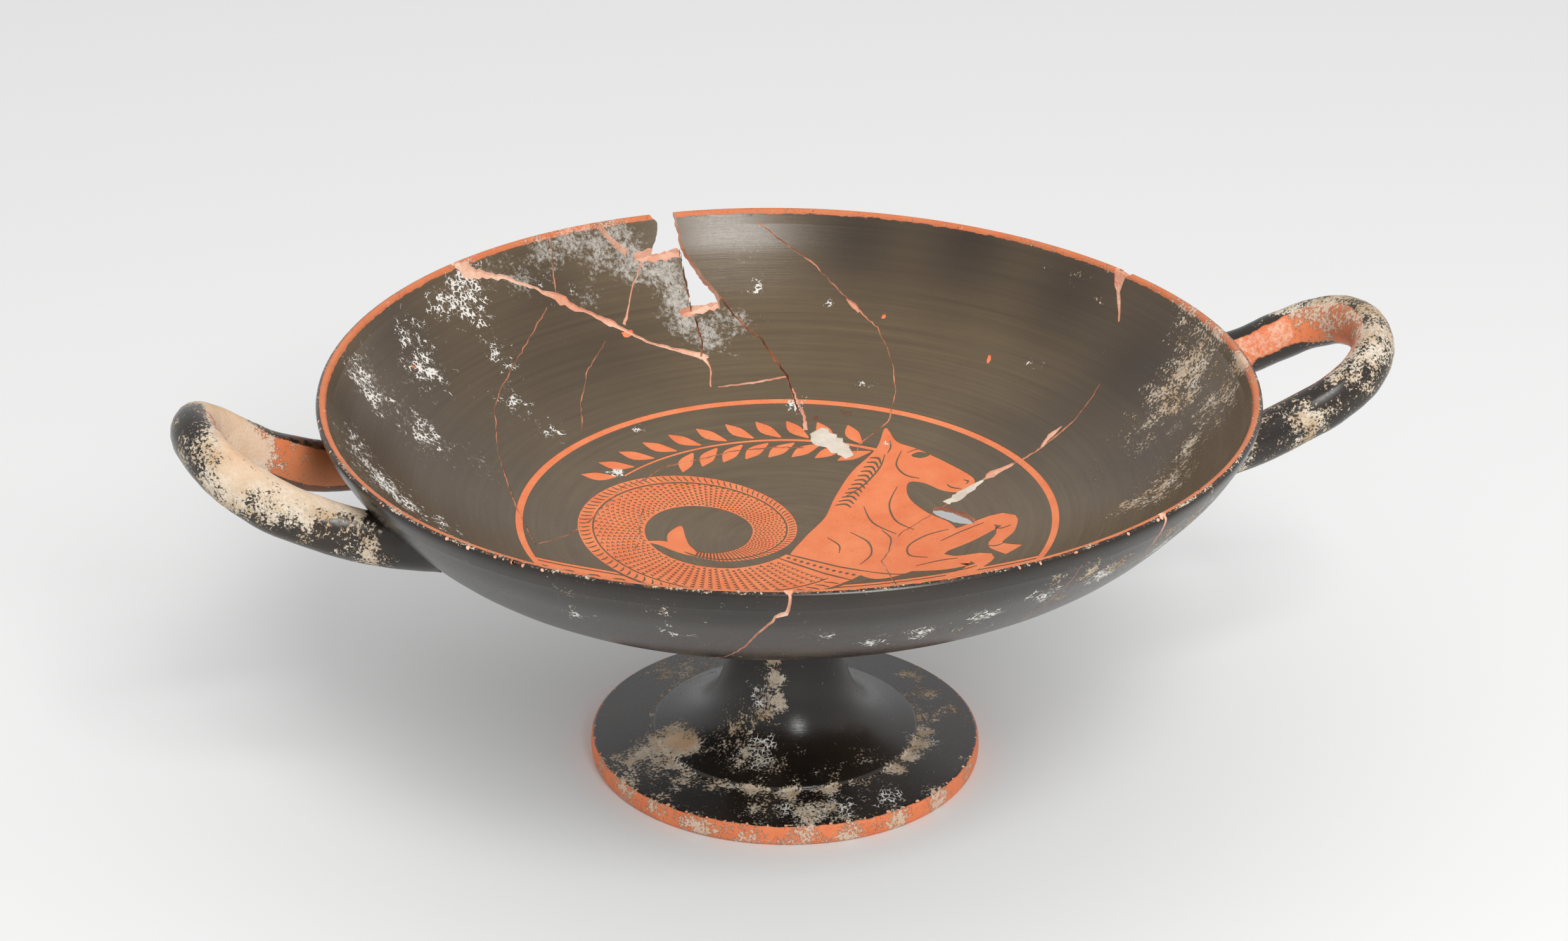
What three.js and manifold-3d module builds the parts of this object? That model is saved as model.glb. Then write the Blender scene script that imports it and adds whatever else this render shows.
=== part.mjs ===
// An ancient Greek wine cup (kylix): a wide shallow bowl on a short trumpet stem and a disc foot,
// with two horizontal loop handles that curve up to the level of the lip. It is one fired piece.
// Millimetres, +Z up. The origin is midway between the handles' tips, in the plane that the foot
// rests on, and the cup's own axis stands AXIS_OFFSET from it, because one handle reaches further.
// +X runs through the handle with the longer reach, and +Y towards the break in the rim.

import * as THREE from 'three';
import { mergeVertices } from 'three/addons/utils/BufferGeometryUtils.js';
import Module from 'manifold-3d';

// ---------------------------------------------------------------- driving dimensions

const AXIS_OFFSET = -6.1; // the cup's axis stands here along X
const LIP_RADIUS = 160;
const LIP_HEIGHT = 143;
const LIP_THICKNESS = 3.6;

// The bowl was thrown apart, joined to its stem leather-hard, and moved a little in the kiln.
const BOWL_LEAN = 0.0116; // rise per millimetre towards +X
const LIP_OVAL = 0.88; // the lip is squeezed in by this much at the handles, and out between them
const LIP_SAG = 1.45; // the lip waves up and down by this much, twice round
const LIP_SAG_HIGH_AT = 110; // degrees from +X to a high place
const LEAN_FROM = 25; // the stem starts to lean here
const LEAN_FULL = 68; // and the bowl above here leans by the full amount

// The bowl's outside wall from stem to lip: radius, height, wall thickness there.
const BOWL_WALL = [
  [27, 73.4, 7],
  [45, 76, 6.4],
  [70, 81.5, 5.8],
  [100, 90, 5.2],
  [130, 105, 4.8],
  [150, 124.4, 4.3],
  [158, 136, 3.8],
];
const BOWL_FLOOR_HEIGHT = 79.9; // top of the floor on the axis

const FOOT_RADIUS = 68.8;
const FOOT_EDGE_HEIGHT = 7.6;
const STEP_RADIUS = 47; // small step turned into the top of the foot, round the stem
const STEP_FOOT = 9.2;
const STEP_TOP = 10.3;
const STEM_RADIUS = 20.4;
const RESTING_RING_INNER = 50; // the foot is hollow inside this radius
const HOLLOW_HEIGHT = 52;

// Handles: reaches are measured out from the cup's axis, and widths from the handle's middle.
const HANDLE_ROOT_REACH = 128; // the arms start inside the wall
const HANDLE_SIDE_RADIUS = 7.8; // half the section's width
const HANDLE_UP_RADIUS = 9.2; // half the section's height
const HANDLES = [
  {
    towards: 1, reach: 212, bendStart: 171, rootHalfWidth: 40.5, bendHalfWidth: 29,
    rootHeight: 113.5, slope: -0.02, climb: 0.0047, squareness: 2.6, twist: 0,
  },
  {
    towards: -1, reach: 199.6, bendStart: 164.5, rootHalfWidth: 41, bendHalfWidth: 27,
    rootHeight: 113.9, slope: 0.015, climb: 0.0076, squareness: 2.7, twist: 0.06,
  },
];

// Break in the rim, near +Y, drawn on the wall: across it, and up along it from the lower ledge.
const GAP_LEDGE_RADIUS = 135;
const GAP_LEDGE_HEIGHT = 115;
const GAP_WALL_ANGLE = 50; // the wall's slope there, in degrees
const GAP_OUTLINE = [
  [-9, 50], [-9, 38], [-6, 34], [-6.8, 30], [-10.3, 22.5], [1.3, 24.5], [1.5, 12], [1.4, 0],
  [13, 1.2], [12, 5.5], [8.2, 11.3], [2.4, 24], [2.4, 27], [1.9, 31], [1, 38], [1, 50],
];
const GAP_REACH = 20; // how far the cut runs to both sides of the wall

// Sliver missing from the floor, where a crack from the rim runs into the picture.
const SLIVER_X = 61.5;
const SLIVER_Y = 3.8;
const SLIVER_LENGTH = 20;
const SLIVER_WIDTH = 5;
const SLIVER_DIRECTION = -62; // degrees from +X
const SLIVER_CUT_FROM = 60; // heights that the cut runs between
const SLIVER_CUT_TO = 100;

const ROUND_SEGMENTS = 72;
const WALL_STEPS = 10;
const HANDLE_STEPS = 32;
const HANDLE_SIDES = 12;

// ---------------------------------------------------------------- solids and booleans

const wasm = await Module();
wasm.setup();

function toSolid(geometry) {
  const bare = geometry.clone();
  bare.deleteAttribute('normal');
  bare.deleteAttribute('uv');
  const merged = mergeVertices(bare, 1e-4);
  const index = merged.index.array;
  const triVerts = [];
  for (let i = 0; i < index.length; i += 3) {
    const [a, b, c] = [index[i], index[i + 1], index[i + 2]];
    if (a !== b && b !== c && c !== a) triVerts.push(a, b, c);
  }
  return new wasm.Manifold(new wasm.Mesh({
    numProp: 3,
    vertProperties: new Float32Array(merged.attributes.position.array),
    triVerts: new Uint32Array(triVerts),
  }));
}

function toGeometry(solid) {
  const mesh = solid.getMesh();
  const geometry = new THREE.BufferGeometry();
  geometry.setAttribute('position', new THREE.BufferAttribute(mesh.vertProperties, 3));
  geometry.setIndex(new THREE.BufferAttribute(mesh.triVerts, 1));
  geometry.computeVertexNormals();
  return geometry;
}

// ---------------------------------------------------------------- bowl, stem and foot

function settled(geometry) {
  const position = geometry.attributes.position;
  for (let i = 0; i < position.count; i += 1) {
    const x = position.getX(i);
    const y = position.getY(i);
    const z = position.getZ(i);
    const share = THREE.MathUtils.smoothstep(z, LEAN_FROM, LEAN_FULL);
    const angle = Math.atan2(y, x);
    const outward = share * (Math.hypot(x, y) / LIP_RADIUS) ** 2;
    const stretch = 1 - (outward * LIP_OVAL * Math.cos(2 * angle)) / LIP_RADIUS;
    const highAt = THREE.MathUtils.degToRad(LIP_SAG_HIGH_AT);
    const lift = BOWL_LEAN * share * x + LIP_SAG * outward * Math.cos(2 * (angle - highAt));
    position.setXYZ(i, x * stretch, y * stretch, z + lift);
  }
  return geometry;
}

function turned(profile) {
  const points = profile.map(([r, z]) => new THREE.Vector2(r, z));
  return settled(new THREE.LatheGeometry(points, ROUND_SEGMENTS).rotateX(Math.PI / 2));
}

// A smooth line through the wall's outside, and the same line moved in by the wall's thickness.
const wallCurve = new THREE.SplineCurve(BOWL_WALL.map(([r, z]) => new THREE.Vector2(r, z)));
const thicknessCurve = new THREE.SplineCurve(
  BOWL_WALL.map(([r, , thickness]) => new THREE.Vector2(r, thickness)),
);
const outsideWall = [];
const insideWall = [];
for (let i = 0; i <= WALL_STEPS; i += 1) {
  const t = i / WALL_STEPS;
  const point = wallCurve.getPoint(t);
  const along = wallCurve.getTangent(t);
  const thickness = thicknessCurve.getPoint(t).y;
  outsideWall.push([point.x, point.y]);
  insideWall.push([point.x - along.y * thickness, point.y + along.x * thickness]);
}

const lipOutside = [
  [LIP_RADIUS, LIP_HEIGHT - 1.7],
  [LIP_RADIUS - 0.6, LIP_HEIGHT - 0.5],
  [LIP_RADIUS - LIP_THICKNESS / 2, LIP_HEIGHT],
];
const lipInside = [
  [LIP_RADIUS - LIP_THICKNESS, LIP_HEIGHT - 1.8],
  [LIP_RADIUS - LIP_THICKNESS + 0.7, LIP_HEIGHT - 0.5],
  [LIP_RADIUS - LIP_THICKNESS / 2, LIP_HEIGHT],
];

const underFoot = [
  [0, HOLLOW_HEIGHT], [7, HOLLOW_HEIGHT - 4], [12, 32], [18, 18.5], [29, 9],
  [47, 3], [RESTING_RING_INNER, 0],
];
const footEdge = [
  [FOOT_RADIUS - 1.2, 0],
  [FOOT_RADIUS, FOOT_EDGE_HEIGHT * 0.35],
  [FOOT_RADIUS - 0.1, FOOT_EDGE_HEIGHT * 0.75],
  [FOOT_RADIUS - 1.2, FOOT_EDGE_HEIGHT],
];
const stem = [
  [STEP_RADIUS + 0.3, STEP_FOOT], [STEP_RADIUS - 0.3, STEP_TOP], [38, 12.8], [31, 16.4],
  [26, 21.8], [22.6, 29], [STEM_RADIUS + 0.4, 38], [STEM_RADIUS, 48],
  [STEM_RADIUS + 0.9, 60], [STEM_RADIUS + 2.4, 68], [STEM_RADIUS + 4, 71.8],
];

const filledCup = toSolid(turned([
  ...underFoot, ...footEdge, ...stem, ...outsideWall, ...lipOutside, [0, LIP_HEIGHT],
]));
const hollow = toSolid(turned([
  [0, BOWL_FLOOR_HEIGHT], [14, BOWL_FLOOR_HEIGHT + 0.2], ...insideWall, ...lipInside,
  [LIP_RADIUS - LIP_THICKNESS / 2, LIP_HEIGHT + 30], [0, LIP_HEIGHT + 30],
]));

// ---------------------------------------------------------------- handles

// The middle line of a rolled coil: two arms that close in a little, joined by a squarish bend,
// and the whole loop curving up the further it stands from the wall.
function handleLine(h) {
  const plan = [];
  const middle = (HANDLE_ROOT_REACH + h.bendStart) / 2;
  const middleHalfWidth = (h.rootHalfWidth + h.bendHalfWidth) / 2;
  plan.push([HANDLE_ROOT_REACH, -h.rootHalfWidth], [middle, -middleHalfWidth]);
  for (const degrees of [-84, -62, -40, -16, 16, 40, 62, 84]) {
    const angle = THREE.MathUtils.degToRad(degrees);
    const power = 2 / h.squareness;
    plan.push([
      h.bendStart + (h.reach - h.bendStart) * Math.cos(angle) ** power,
      h.bendHalfWidth * Math.sign(angle) * Math.abs(Math.sin(angle)) ** power,
    ]);
  }
  plan.push([middle, middleHalfWidth], [HANDLE_ROOT_REACH, h.rootHalfWidth]);
  return new THREE.CatmullRomCurve3(plan.map(([out, across]) => {
    const past = out - 138;
    const height = h.rootHeight + h.slope * past + h.climb * past ** 2 + h.twist * across;
    return new THREE.Vector3(h.towards * out, h.towards * across, height);
  }));
}

function handleGeometry(h) {
  const section = new THREE.Shape();
  for (let i = 0; i < HANDLE_SIDES; i += 1) {
    const angle = (2 * Math.PI * i) / HANDLE_SIDES;
    const up = HANDLE_UP_RADIUS * Math.cos(angle);
    const side = HANDLE_SIDE_RADIUS * Math.sin(angle);
    if (i === 0) section.moveTo(up, side);
    else section.lineTo(up, side);
  }
  section.closePath();
  return new THREE.ExtrudeGeometry(section, {
    steps: HANDLE_STEPS, bevelEnabled: false, extrudePath: handleLine(h),
  });
}

// ---------------------------------------------------------------- losses

function gapCutter() {
  const outline = new THREE.Shape(GAP_OUTLINE.map(([across, up]) => new THREE.Vector2(across, up)));
  return new THREE.ExtrudeGeometry(outline, { depth: 2 * GAP_REACH, bevelEnabled: false })
    .translate(0, 0, -GAP_REACH)
    .rotateX(THREE.MathUtils.degToRad(GAP_WALL_ANGLE))
    .translate(0, GAP_LEDGE_RADIUS, GAP_LEDGE_HEIGHT);
}

function sliverCutter() {
  const outline = new THREE.Shape();
  outline.absellipse(0, 0, SLIVER_LENGTH / 2, SLIVER_WIDTH / 2, 0, 2 * Math.PI);
  const depth = SLIVER_CUT_TO - SLIVER_CUT_FROM;
  return new THREE.ExtrudeGeometry(outline, { depth, bevelEnabled: false, curveSegments: 6 })
    .rotateZ(THREE.MathUtils.degToRad(SLIVER_DIRECTION))
    .translate(SLIVER_X, SLIVER_Y, SLIVER_CUT_FROM);
}

// ---------------------------------------------------------------- the cup

let cupSolid = filledCup;
for (const h of HANDLES) cupSolid = cupSolid.add(toSolid(handleGeometry(h)));
cupSolid = cupSolid.subtract(hollow);
cupSolid = cupSolid.subtract(toSolid(gapCutter()));
cupSolid = cupSolid.subtract(toSolid(sliverCutter()));

const glossBlack = new THREE.MeshStandardMaterial({ color: 0x3b352d, roughness: 0.35, metalness: 0 });
const cup = new THREE.Mesh(toGeometry(cupSolid), glossBlack);
cup.name = 'cup';
cup.position.x = AXIS_OFFSET;

const kylix = new THREE.Group();
kylix.add(cup);

export default kylix;
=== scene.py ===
import math
import random

import bpy
import numpy as np
from mathutils import Matrix, Vector


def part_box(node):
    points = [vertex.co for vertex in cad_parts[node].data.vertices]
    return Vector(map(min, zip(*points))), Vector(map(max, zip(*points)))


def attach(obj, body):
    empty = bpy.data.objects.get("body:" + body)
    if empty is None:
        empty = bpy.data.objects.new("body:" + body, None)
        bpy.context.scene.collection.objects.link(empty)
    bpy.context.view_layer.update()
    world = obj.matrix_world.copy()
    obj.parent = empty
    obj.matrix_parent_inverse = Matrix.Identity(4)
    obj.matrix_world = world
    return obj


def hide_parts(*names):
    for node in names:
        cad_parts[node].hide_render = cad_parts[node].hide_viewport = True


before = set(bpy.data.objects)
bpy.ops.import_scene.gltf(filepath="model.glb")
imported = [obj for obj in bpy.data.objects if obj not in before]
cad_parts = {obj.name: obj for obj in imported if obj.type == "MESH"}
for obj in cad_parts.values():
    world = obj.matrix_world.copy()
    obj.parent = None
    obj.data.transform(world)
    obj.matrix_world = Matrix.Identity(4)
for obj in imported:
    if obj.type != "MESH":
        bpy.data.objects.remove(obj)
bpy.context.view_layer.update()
bpy.ops.object.select_all(action="DESELECT")


# ---------------------------------------------------------------- the thrown cup
# Bowl, stem and foot: red clay thrown on a wheel in two parts, turned, and joined leather-hard.
# Every outline is a profile spun about the cup's axis and then bent a little, as in the kiln.
# Profiles are in millimetres, radius and height, as they lie when the cup is still true.

MM = 0.001
AXIS_X = -6.1 * MM  # the cup's axis, because the handle at +X reaches further
WHEEL_STEPS = 192

LIP_RADIUS = 160.0
LIP_HEIGHT = 143.0
LIP_THICKNESS = 3.6
LIP_TOP = LIP_RADIUS - LIP_THICKNESS / 2
# Up the outside of the bowl: radius, height, and the wall's thickness there.
BOWL_WALL = [
    (27, 73.4, 7.0), (45, 76, 6.4), (70, 81.5, 5.8), (100, 90, 5.2),
    (130, 105, 4.8), (150, 124.4, 4.3), (158, 136, 3.8),
]
FLOOR_HEIGHT = 79.9
FOOT_RADIUS = 68.8
FOOT_BOTTOM_RADIUS = FOOT_RADIUS - 1.2
FOOT_TOP_RADIUS = FOOT_RADIUS - 1.4
FOOT_EDGE_HEIGHT = 7.6
STEP_RADIUS = 47.0
RESTING_RING_INNER = 50.0

BOWL_LEAN = 0.0116
LIP_OVAL = 0.88
LIP_SAG = 1.45
LIP_SAG_HIGH_AT = math.radians(110)
LEAN_FROM = 25.0
LEAN_FULL = 68.0


def curve_through(points, steps):
    """A smooth line through points (Catmull-Rom), with this many steps between neighbours."""
    points = np.array(points, float)
    padded = np.vstack([points[0], points, points[-1]])
    line = []
    for i in range(len(points) - 1):
        before, start, end, after = padded[i:i + 4]
        for t in np.arange(steps) / steps:
            line.append(0.5 * (
                2 * start + (end - before) * t
                + (2 * before - 5 * start + 4 * end - after) * t ** 2
                + (3 * start - before - 3 * end + after) * t ** 3
            ))
    return np.vstack([line, points[-1]])


def straight(start, end, steps):
    return np.linspace(start, end, steps + 1)


def sideways(line):
    """Unit vectors to the right of a line's travel, which is out of the clay on these profiles."""
    along = np.gradient(line, axis=0)
    along /= np.linalg.norm(along, axis=1)[:, None]
    return np.stack([along[:, 1], -along[:, 0]], 1)


wall = curve_through(BOWL_WALL, 6)
wall_outside = wall[:, :2]
wall_inside = wall_outside - sideways(wall_outside) * wall[:, 2:]

outside_parts = {
    "underside": curve_through(
        [(0, 52), (7, 48), (12, 32), (18, 18.5), (29, 9), (47, 3), (RESTING_RING_INNER, 0)], 2
    ),
    "resting ring": straight((RESTING_RING_INNER, 0), (FOOT_BOTTOM_RADIUS, 0), 4),
    "foot edge": curve_through(
        [
            (FOOT_BOTTOM_RADIUS, 0), (FOOT_RADIUS - 0.3, 0.9), (FOOT_RADIUS, 3.0),
            (FOOT_RADIUS - 0.1, 5.7), (FOOT_RADIUS - 0.5, 7.0), (FOOT_TOP_RADIUS, FOOT_EDGE_HEIGHT),
        ], 2
    ),
    "foot top": straight((FOOT_TOP_RADIUS, FOOT_EDGE_HEIGHT), (STEP_RADIUS + 0.6, 9.0), 6),
    "step": curve_through(
        [(STEP_RADIUS + 0.6, 9.0), (STEP_RADIUS + 0.1, 9.2), (STEP_RADIUS - 0.2, 10.0),
         (STEP_RADIUS - 0.9, 10.5)], 2
    ),
    "stem": curve_through(
        [
            (STEP_RADIUS - 0.9, 10.5), (38, 12.8), (31, 16.4), (26, 21.8), (22.6, 29), (20.8, 38),
            (20.4, 48), (21.3, 60), (22.8, 68), (24.2, 71.4), (25.2, 72.6), (27, 73.4),
        ], 4
    ),
    "wall": wall_outside,
    "lip": curve_through(
        [(158, 136), (159.4, 139), (160, 141.3), (159.4, 142.5), (LIP_TOP, LIP_HEIGHT)], 2
    ),
}
inside_parts = {
    "floor": curve_through([(0, FLOOR_HEIGHT), (14, FLOOR_HEIGHT + 0.2), tuple(wall_inside[0])], 4),
    "inside": wall_inside,
    "inner lip": curve_through(
        [tuple(wall_inside[-1]), (156.4, 141.2), (157.1, 142.5), (LIP_TOP, LIP_HEIGHT)], 3
    ),
}


def joined(parts):
    """One line from several that follow each other, without the points that they share."""
    lines = [line[:-1] for line in parts.values()]
    return np.vstack([*lines, list(parts.values())[-1][-1:]])


outside_line = joined(outside_parts)
inside_line = joined(inside_parts)


def settled(points):
    """Where points of the true cup lie after the firing, in millimetres about the cup's axis."""
    x, y, z = points.T
    t = np.clip((z - LEAN_FROM) / (LEAN_FULL - LEAN_FROM), 0, 1)
    share = t * t * (3 - 2 * t)
    angle = np.arctan2(y, x)
    outward = share * (np.hypot(x, y) / LIP_RADIUS) ** 2
    stretch = 1 - outward * LIP_OVAL * np.cos(2 * angle) / LIP_RADIUS
    sag = LIP_SAG * outward * np.cos(2 * (angle - LIP_SAG_HIGH_AT))
    return np.stack([x * stretch, y * stretch, z + BOWL_LEAN * share * x + sag], 1)


def points_of(piece):
    points = np.empty(len(piece.data.vertices) * 3)
    piece.data.vertices.foreach_get("co", points)
    return points.reshape(-1, 3)


def place_points(piece, points):
    piece.data.vertices.foreach_set("co", np.ascontiguousarray(points).ravel())
    piece.data.update()


def make_active(piece):
    bpy.ops.object.select_all(action="DESELECT")
    piece.select_set(True)
    bpy.context.view_layer.objects.active = piece


def turned(name, profile, material):
    """The solid that a profile from the axis round to the axis makes on the wheel."""
    bpy.ops.mesh.primitive_plane_add(size=MM)
    piece = bpy.context.active_object
    piece.name = name
    bpy.ops.object.mode_set(mode="EDIT")
    bpy.ops.mesh.merge(type="CENTER")
    line = np.stack([profile[:, 0], 0 * profile[:, 0], profile[:, 1]], 1) * MM
    bpy.ops.transform.translate(value=line[0])
    for step in np.diff(line, axis=0):
        bpy.ops.mesh.extrude_vertices_move(TRANSFORM_OT_translate={"value": step})
    bpy.ops.mesh.select_all(action="SELECT")
    bpy.ops.mesh.spin(steps=WHEEL_STEPS, angle=2 * math.pi, center=(0, 0, 0), axis=(0, 0, 1))
    bpy.ops.mesh.select_all(action="SELECT")
    bpy.ops.mesh.remove_doubles(threshold=0.005 * MM)
    bpy.ops.mesh.normals_make_consistent(inside=False)
    bpy.ops.object.mode_set(mode="OBJECT")
    place_points(piece, settled(points_of(piece) / MM) * MM)
    piece.data.materials.append(material)
    return piece


def filled(line):
    """The outside's profile closed across the mouth."""
    return np.vstack([line, (0, line[-1, 1])])


def hollowing(line):
    """The inside's profile closed high above the mouth."""
    above = LIP_HEIGHT + 30
    return np.vstack([line, (line[-1, 0], above), (0, above)])


def combine(piece, operation, *others):
    """Joins, cuts or keeps in common, and uses the others up. New faces keep their own material."""
    make_active(piece)
    for other in others:
        modifier = piece.modifiers.new(operation.lower(), "BOOLEAN")
        modifier.operation = operation
        modifier.solver = "MANIFOLD"
        modifier.material_mode = "TRANSFER"
        modifier.object = other
        bpy.ops.object.modifier_apply(modifier=modifier.name)
        bpy.data.objects.remove(other)
    return piece


# ---------------------------------------------------------------- the handles
# Two rolled coils of clay, bent into loops, pressed on to the wall and smoothed at the roots.
# Each rises in a curve the further it stands from the wall, up to about the lip's level.

HANDLE_ROOT_REACH = 128.0
HANDLE_SIDE_RADIUS = 7.8
HANDLE_UP_RADIUS = 9.2
WALL_AT_HANDLES = 138.0
ROOT_FLARE = 1.16  # the roots are smoothed out on the wall, so they are a little thicker

low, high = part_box("cup")
HANDLES = {
    "right": dict(
        towards=1, reach=(high.x - AXIS_X) / MM - HANDLE_SIDE_RADIUS, bend_start=171,
        root_half_width=40.5, bend_half_width=29, root_height=113.5, slope=-0.02, climb=0.0047,
        squareness=2.6, twist=0,
    ),
    "left": dict(
        towards=-1, reach=(AXIS_X - low.x) / MM - HANDLE_SIDE_RADIUS, bend_start=164.5,
        root_half_width=41, bend_half_width=27, root_height=113.9, slope=0.015, climb=0.0076,
        squareness=2.7, twist=0.06,
    ),
}


def handle_points(towards, reach, bend_start, root_half_width, bend_half_width, root_height,
                  slope, climb, squareness, twist):
    """The points that a handle's middle line runs through, from root to root."""
    middle = (HANDLE_ROOT_REACH + bend_start) / 2
    middle_half_width = (root_half_width + bend_half_width) / 2
    plan = [(HANDLE_ROOT_REACH, -root_half_width), (middle, -middle_half_width)]
    for degrees in (-84, -62, -40, -16, 16, 40, 62, 84):
        angle = math.radians(degrees)
        out = math.cos(angle) ** (2 / squareness)
        across = math.copysign(abs(math.sin(angle)) ** (2 / squareness), angle)
        plan.append((bend_start + (reach - bend_start) * out, bend_half_width * across))
    plan += [(middle, middle_half_width), (HANDLE_ROOT_REACH, root_half_width)]
    points = []
    for out, across in plan:
        past = out - WALL_AT_HANDLES
        height = root_height + slope * past + climb * past ** 2 + twist * across
        points.append((towards * out, towards * across, height))
    return np.array(points)


def handle(name, points, thinner, material):
    """A coil along points, thinner all round by this much, with flared roots and closed ends."""
    bpy.ops.curve.primitive_bezier_circle_add(radius=1)
    section = bpy.context.active_object
    section.data.resolution_u = 5
    section.scale = ((HANDLE_SIDE_RADIUS - thinner) * MM, (HANDLE_UP_RADIUS - thinner) * MM, 1)
    bpy.ops.object.transform_apply(location=False, rotation=False, scale=True)
    bpy.ops.curve.primitive_bezier_curve_add()
    piece = bpy.context.active_object
    piece.name = name
    piece.data.resolution_u = 7
    piece.data.twist_mode = "Z_UP"
    piece.data.bevel_mode = "OBJECT"
    piece.data.bevel_object = section
    piece.data.use_fill_caps = True
    spline = piece.data.splines[0]
    spline.bezier_points.add(len(points) - 2)
    for knot, place in zip(spline.bezier_points, points * MM):
        knot.co = place
        knot.handle_left_type = knot.handle_right_type = "AUTO"
        knot.radius = 1
    spline.bezier_points[0].radius = spline.bezier_points[-1].radius = ROOT_FLARE
    make_active(piece)
    bpy.ops.object.convert(target="MESH")
    piece = bpy.context.active_object
    bpy.data.objects.remove(section)
    bpy.ops.object.mode_set(mode="EDIT")
    bpy.ops.mesh.select_all(action="SELECT")
    bpy.ops.mesh.remove_doubles(threshold=0.01 * MM)
    bpy.ops.mesh.normals_make_consistent(inside=False)
    bpy.ops.object.mode_set(mode="OBJECT")
    unevenness = bpy.data.textures.new(name, "CLOUDS")
    unevenness.noise_scale = 14 * MM
    modifier = piece.modifiers.new("hand-rolled", "DISPLACE")
    modifier.texture = unevenness
    modifier.texture_coords = "LOCAL"
    modifier.strength = 0.9 * MM
    modifier.mid_level = 0.85
    bpy.ops.object.modifier_apply(modifier=modifier.name)
    piece.data.materials.clear()
    piece.data.materials.append(material)
    return piece


def moved(line, distance):
    """A profile moved to its right. One that starts on the axis still does."""
    shifted = line + sideways(line) * distance
    if line[0, 0] == 0:
        shifted[0, 0] = 0
    return shifted


def whole_pot(name, moved_in, material):
    """The cup with its handles, every surface moved into the clay by this much."""
    pot = turned(name, filled(moved(outside_line, -moved_in)), material)
    for side, shape in HANDLES.items():
        loop = handle(f"{name}_{side}_handle", handle_points(**shape), moved_in, material)
        combine(pot, "UNION", loop)
    mouth = turned("mouth", hollowing(moved(inside_line, moved_in)), material)
    return combine(pot, "DIFFERENCE", mouth)


black_gloss = bpy.data.materials.new("black_gloss")
orange_clay = bpy.data.materials.new("orange_clay")

SLIP_THICKNESS = 0.12
cup = whole_pot("kylix", 0.0, black_gloss)
clay_body = whole_pot("clay_body", SLIP_THICKNESS, orange_clay)


# ---------------------------------------------------------------- the painted round
# The picture in the bowl is bare clay: the painter drew it, then filled the ground with slip.
# Here stencils lift the slip off the clay, in a ring, a sea-horse, a laurel branch and a sea.
# Outlines are in millimetres from the middle of the round, x to its right and y to its top.

PICTURE_TURN = math.radians(-16.4)
RING_OUTER = 93.5
RING_INNER = 91.0
LINE = 0.55  # a relief line's width
SEA_TOP = -34.0
CIRCLE_SIDES = 180
STENCIL_BOTTOM = 60.0  # below the bowl's floor
STENCIL_TOP = 150.0  # above the lip


def closed_curve(points, steps=5):
    """A smooth outline through points, all the way round."""
    points = list(points)
    line = curve_through([points[-1], *points, points[0], points[1]], steps)
    return line[steps:-steps - 1]


def brush(points, widths, steps=5):
    """The outline of a brush stroke along points, with its width given at each."""
    line = curve_through([(*p, w) for p, w in zip(points, widths)], steps)
    half = sideways(line[:, :2]) * line[:, 2:] / 2
    return np.vstack([line[:, :2] + half, (line[:, :2] - half)[::-1]])


def stroke(points, width=LINE, steps=5):
    """A relief line with pointed ends."""
    widths = [width * 0.4] + [width] * (len(points) - 2) + [width * 0.4]
    return brush(points, widths, steps)


def circle(radius, centre=(0, 0), sides=CIRCLE_SIDES):
    angles = np.arange(sides) / sides * 2 * math.pi
    return np.stack([centre[0] + radius * np.cos(angles), centre[1] + radius * np.sin(angles)], 1)


def stencil(name, outlines, material, turn=PICTURE_TURN, bottom=STENCIL_BOTTOM,
            top=STENCIL_TOP):
    """Upright prisms on outlines that don't touch each other, as one piece."""
    cos, sin = math.cos(turn), math.sin(turn)
    points, faces = [], []
    for outline in outlines:
        faces.append(range(len(points), len(points) + len(outline)))
        points += [((x * cos - y * sin) * MM, (x * sin + y * cos) * MM, bottom * MM)
                   for x, y in outline]
    mesh = bpy.data.meshes.new(name)
    mesh.from_pydata(points, [], faces)
    piece = bpy.data.objects.new(name, mesh)
    bpy.context.collection.objects.link(piece)
    make_active(piece)
    bpy.ops.object.mode_set(mode="EDIT")
    bpy.ops.mesh.select_all(action="SELECT")
    bpy.ops.mesh.extrude_region_move(TRANSFORM_OT_translate={"value": (0, 0, (top - bottom) * MM)})
    bpy.ops.mesh.select_all(action="SELECT")
    bpy.ops.mesh.normals_make_consistent(inside=False)
    bpy.ops.object.mode_set(mode="OBJECT")
    piece.data.materials.append(material)
    return piece


def stencils(name, outlines, material):
    """One piece from outlines that may touch or cross, on places round the cup."""
    first, *others = [stencil(name, [outline], material, turn=0) for outline in outlines]
    return combine(first, "UNION", *others)


def skin_zone(name, line, deep, proud, material):
    """A shell over one side of the cup, this deep into the clay and this proud of it."""
    out = -1 if line[0, 1] == FLOOR_HEIGHT else 1
    profile = np.vstack([moved(line, -out * deep), moved(line, out * proud)[::-1]])
    if line[0, 0] > 0:
        profile = np.vstack([profile, profile[:1]])
    return turned(name, profile, material)


# The sea-horse's tail winds inwards, and shrinks by the same share on each turn.
COIL_CENTRE = np.array([-27.0, 8.0])
COIL_RADIUS = 47.0
COIL_WIDTH = 0.68  # of the radius there
COIL_SHRINK = 0.45  # on one whole turn
COIL_STARTS_AT = math.radians(-30)
COIL_TURNS = 1.24
BELLY_AT = 0.27
BAR_PITCH = 0.0105  # of a turn, from one bar of the belly to the next


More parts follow.
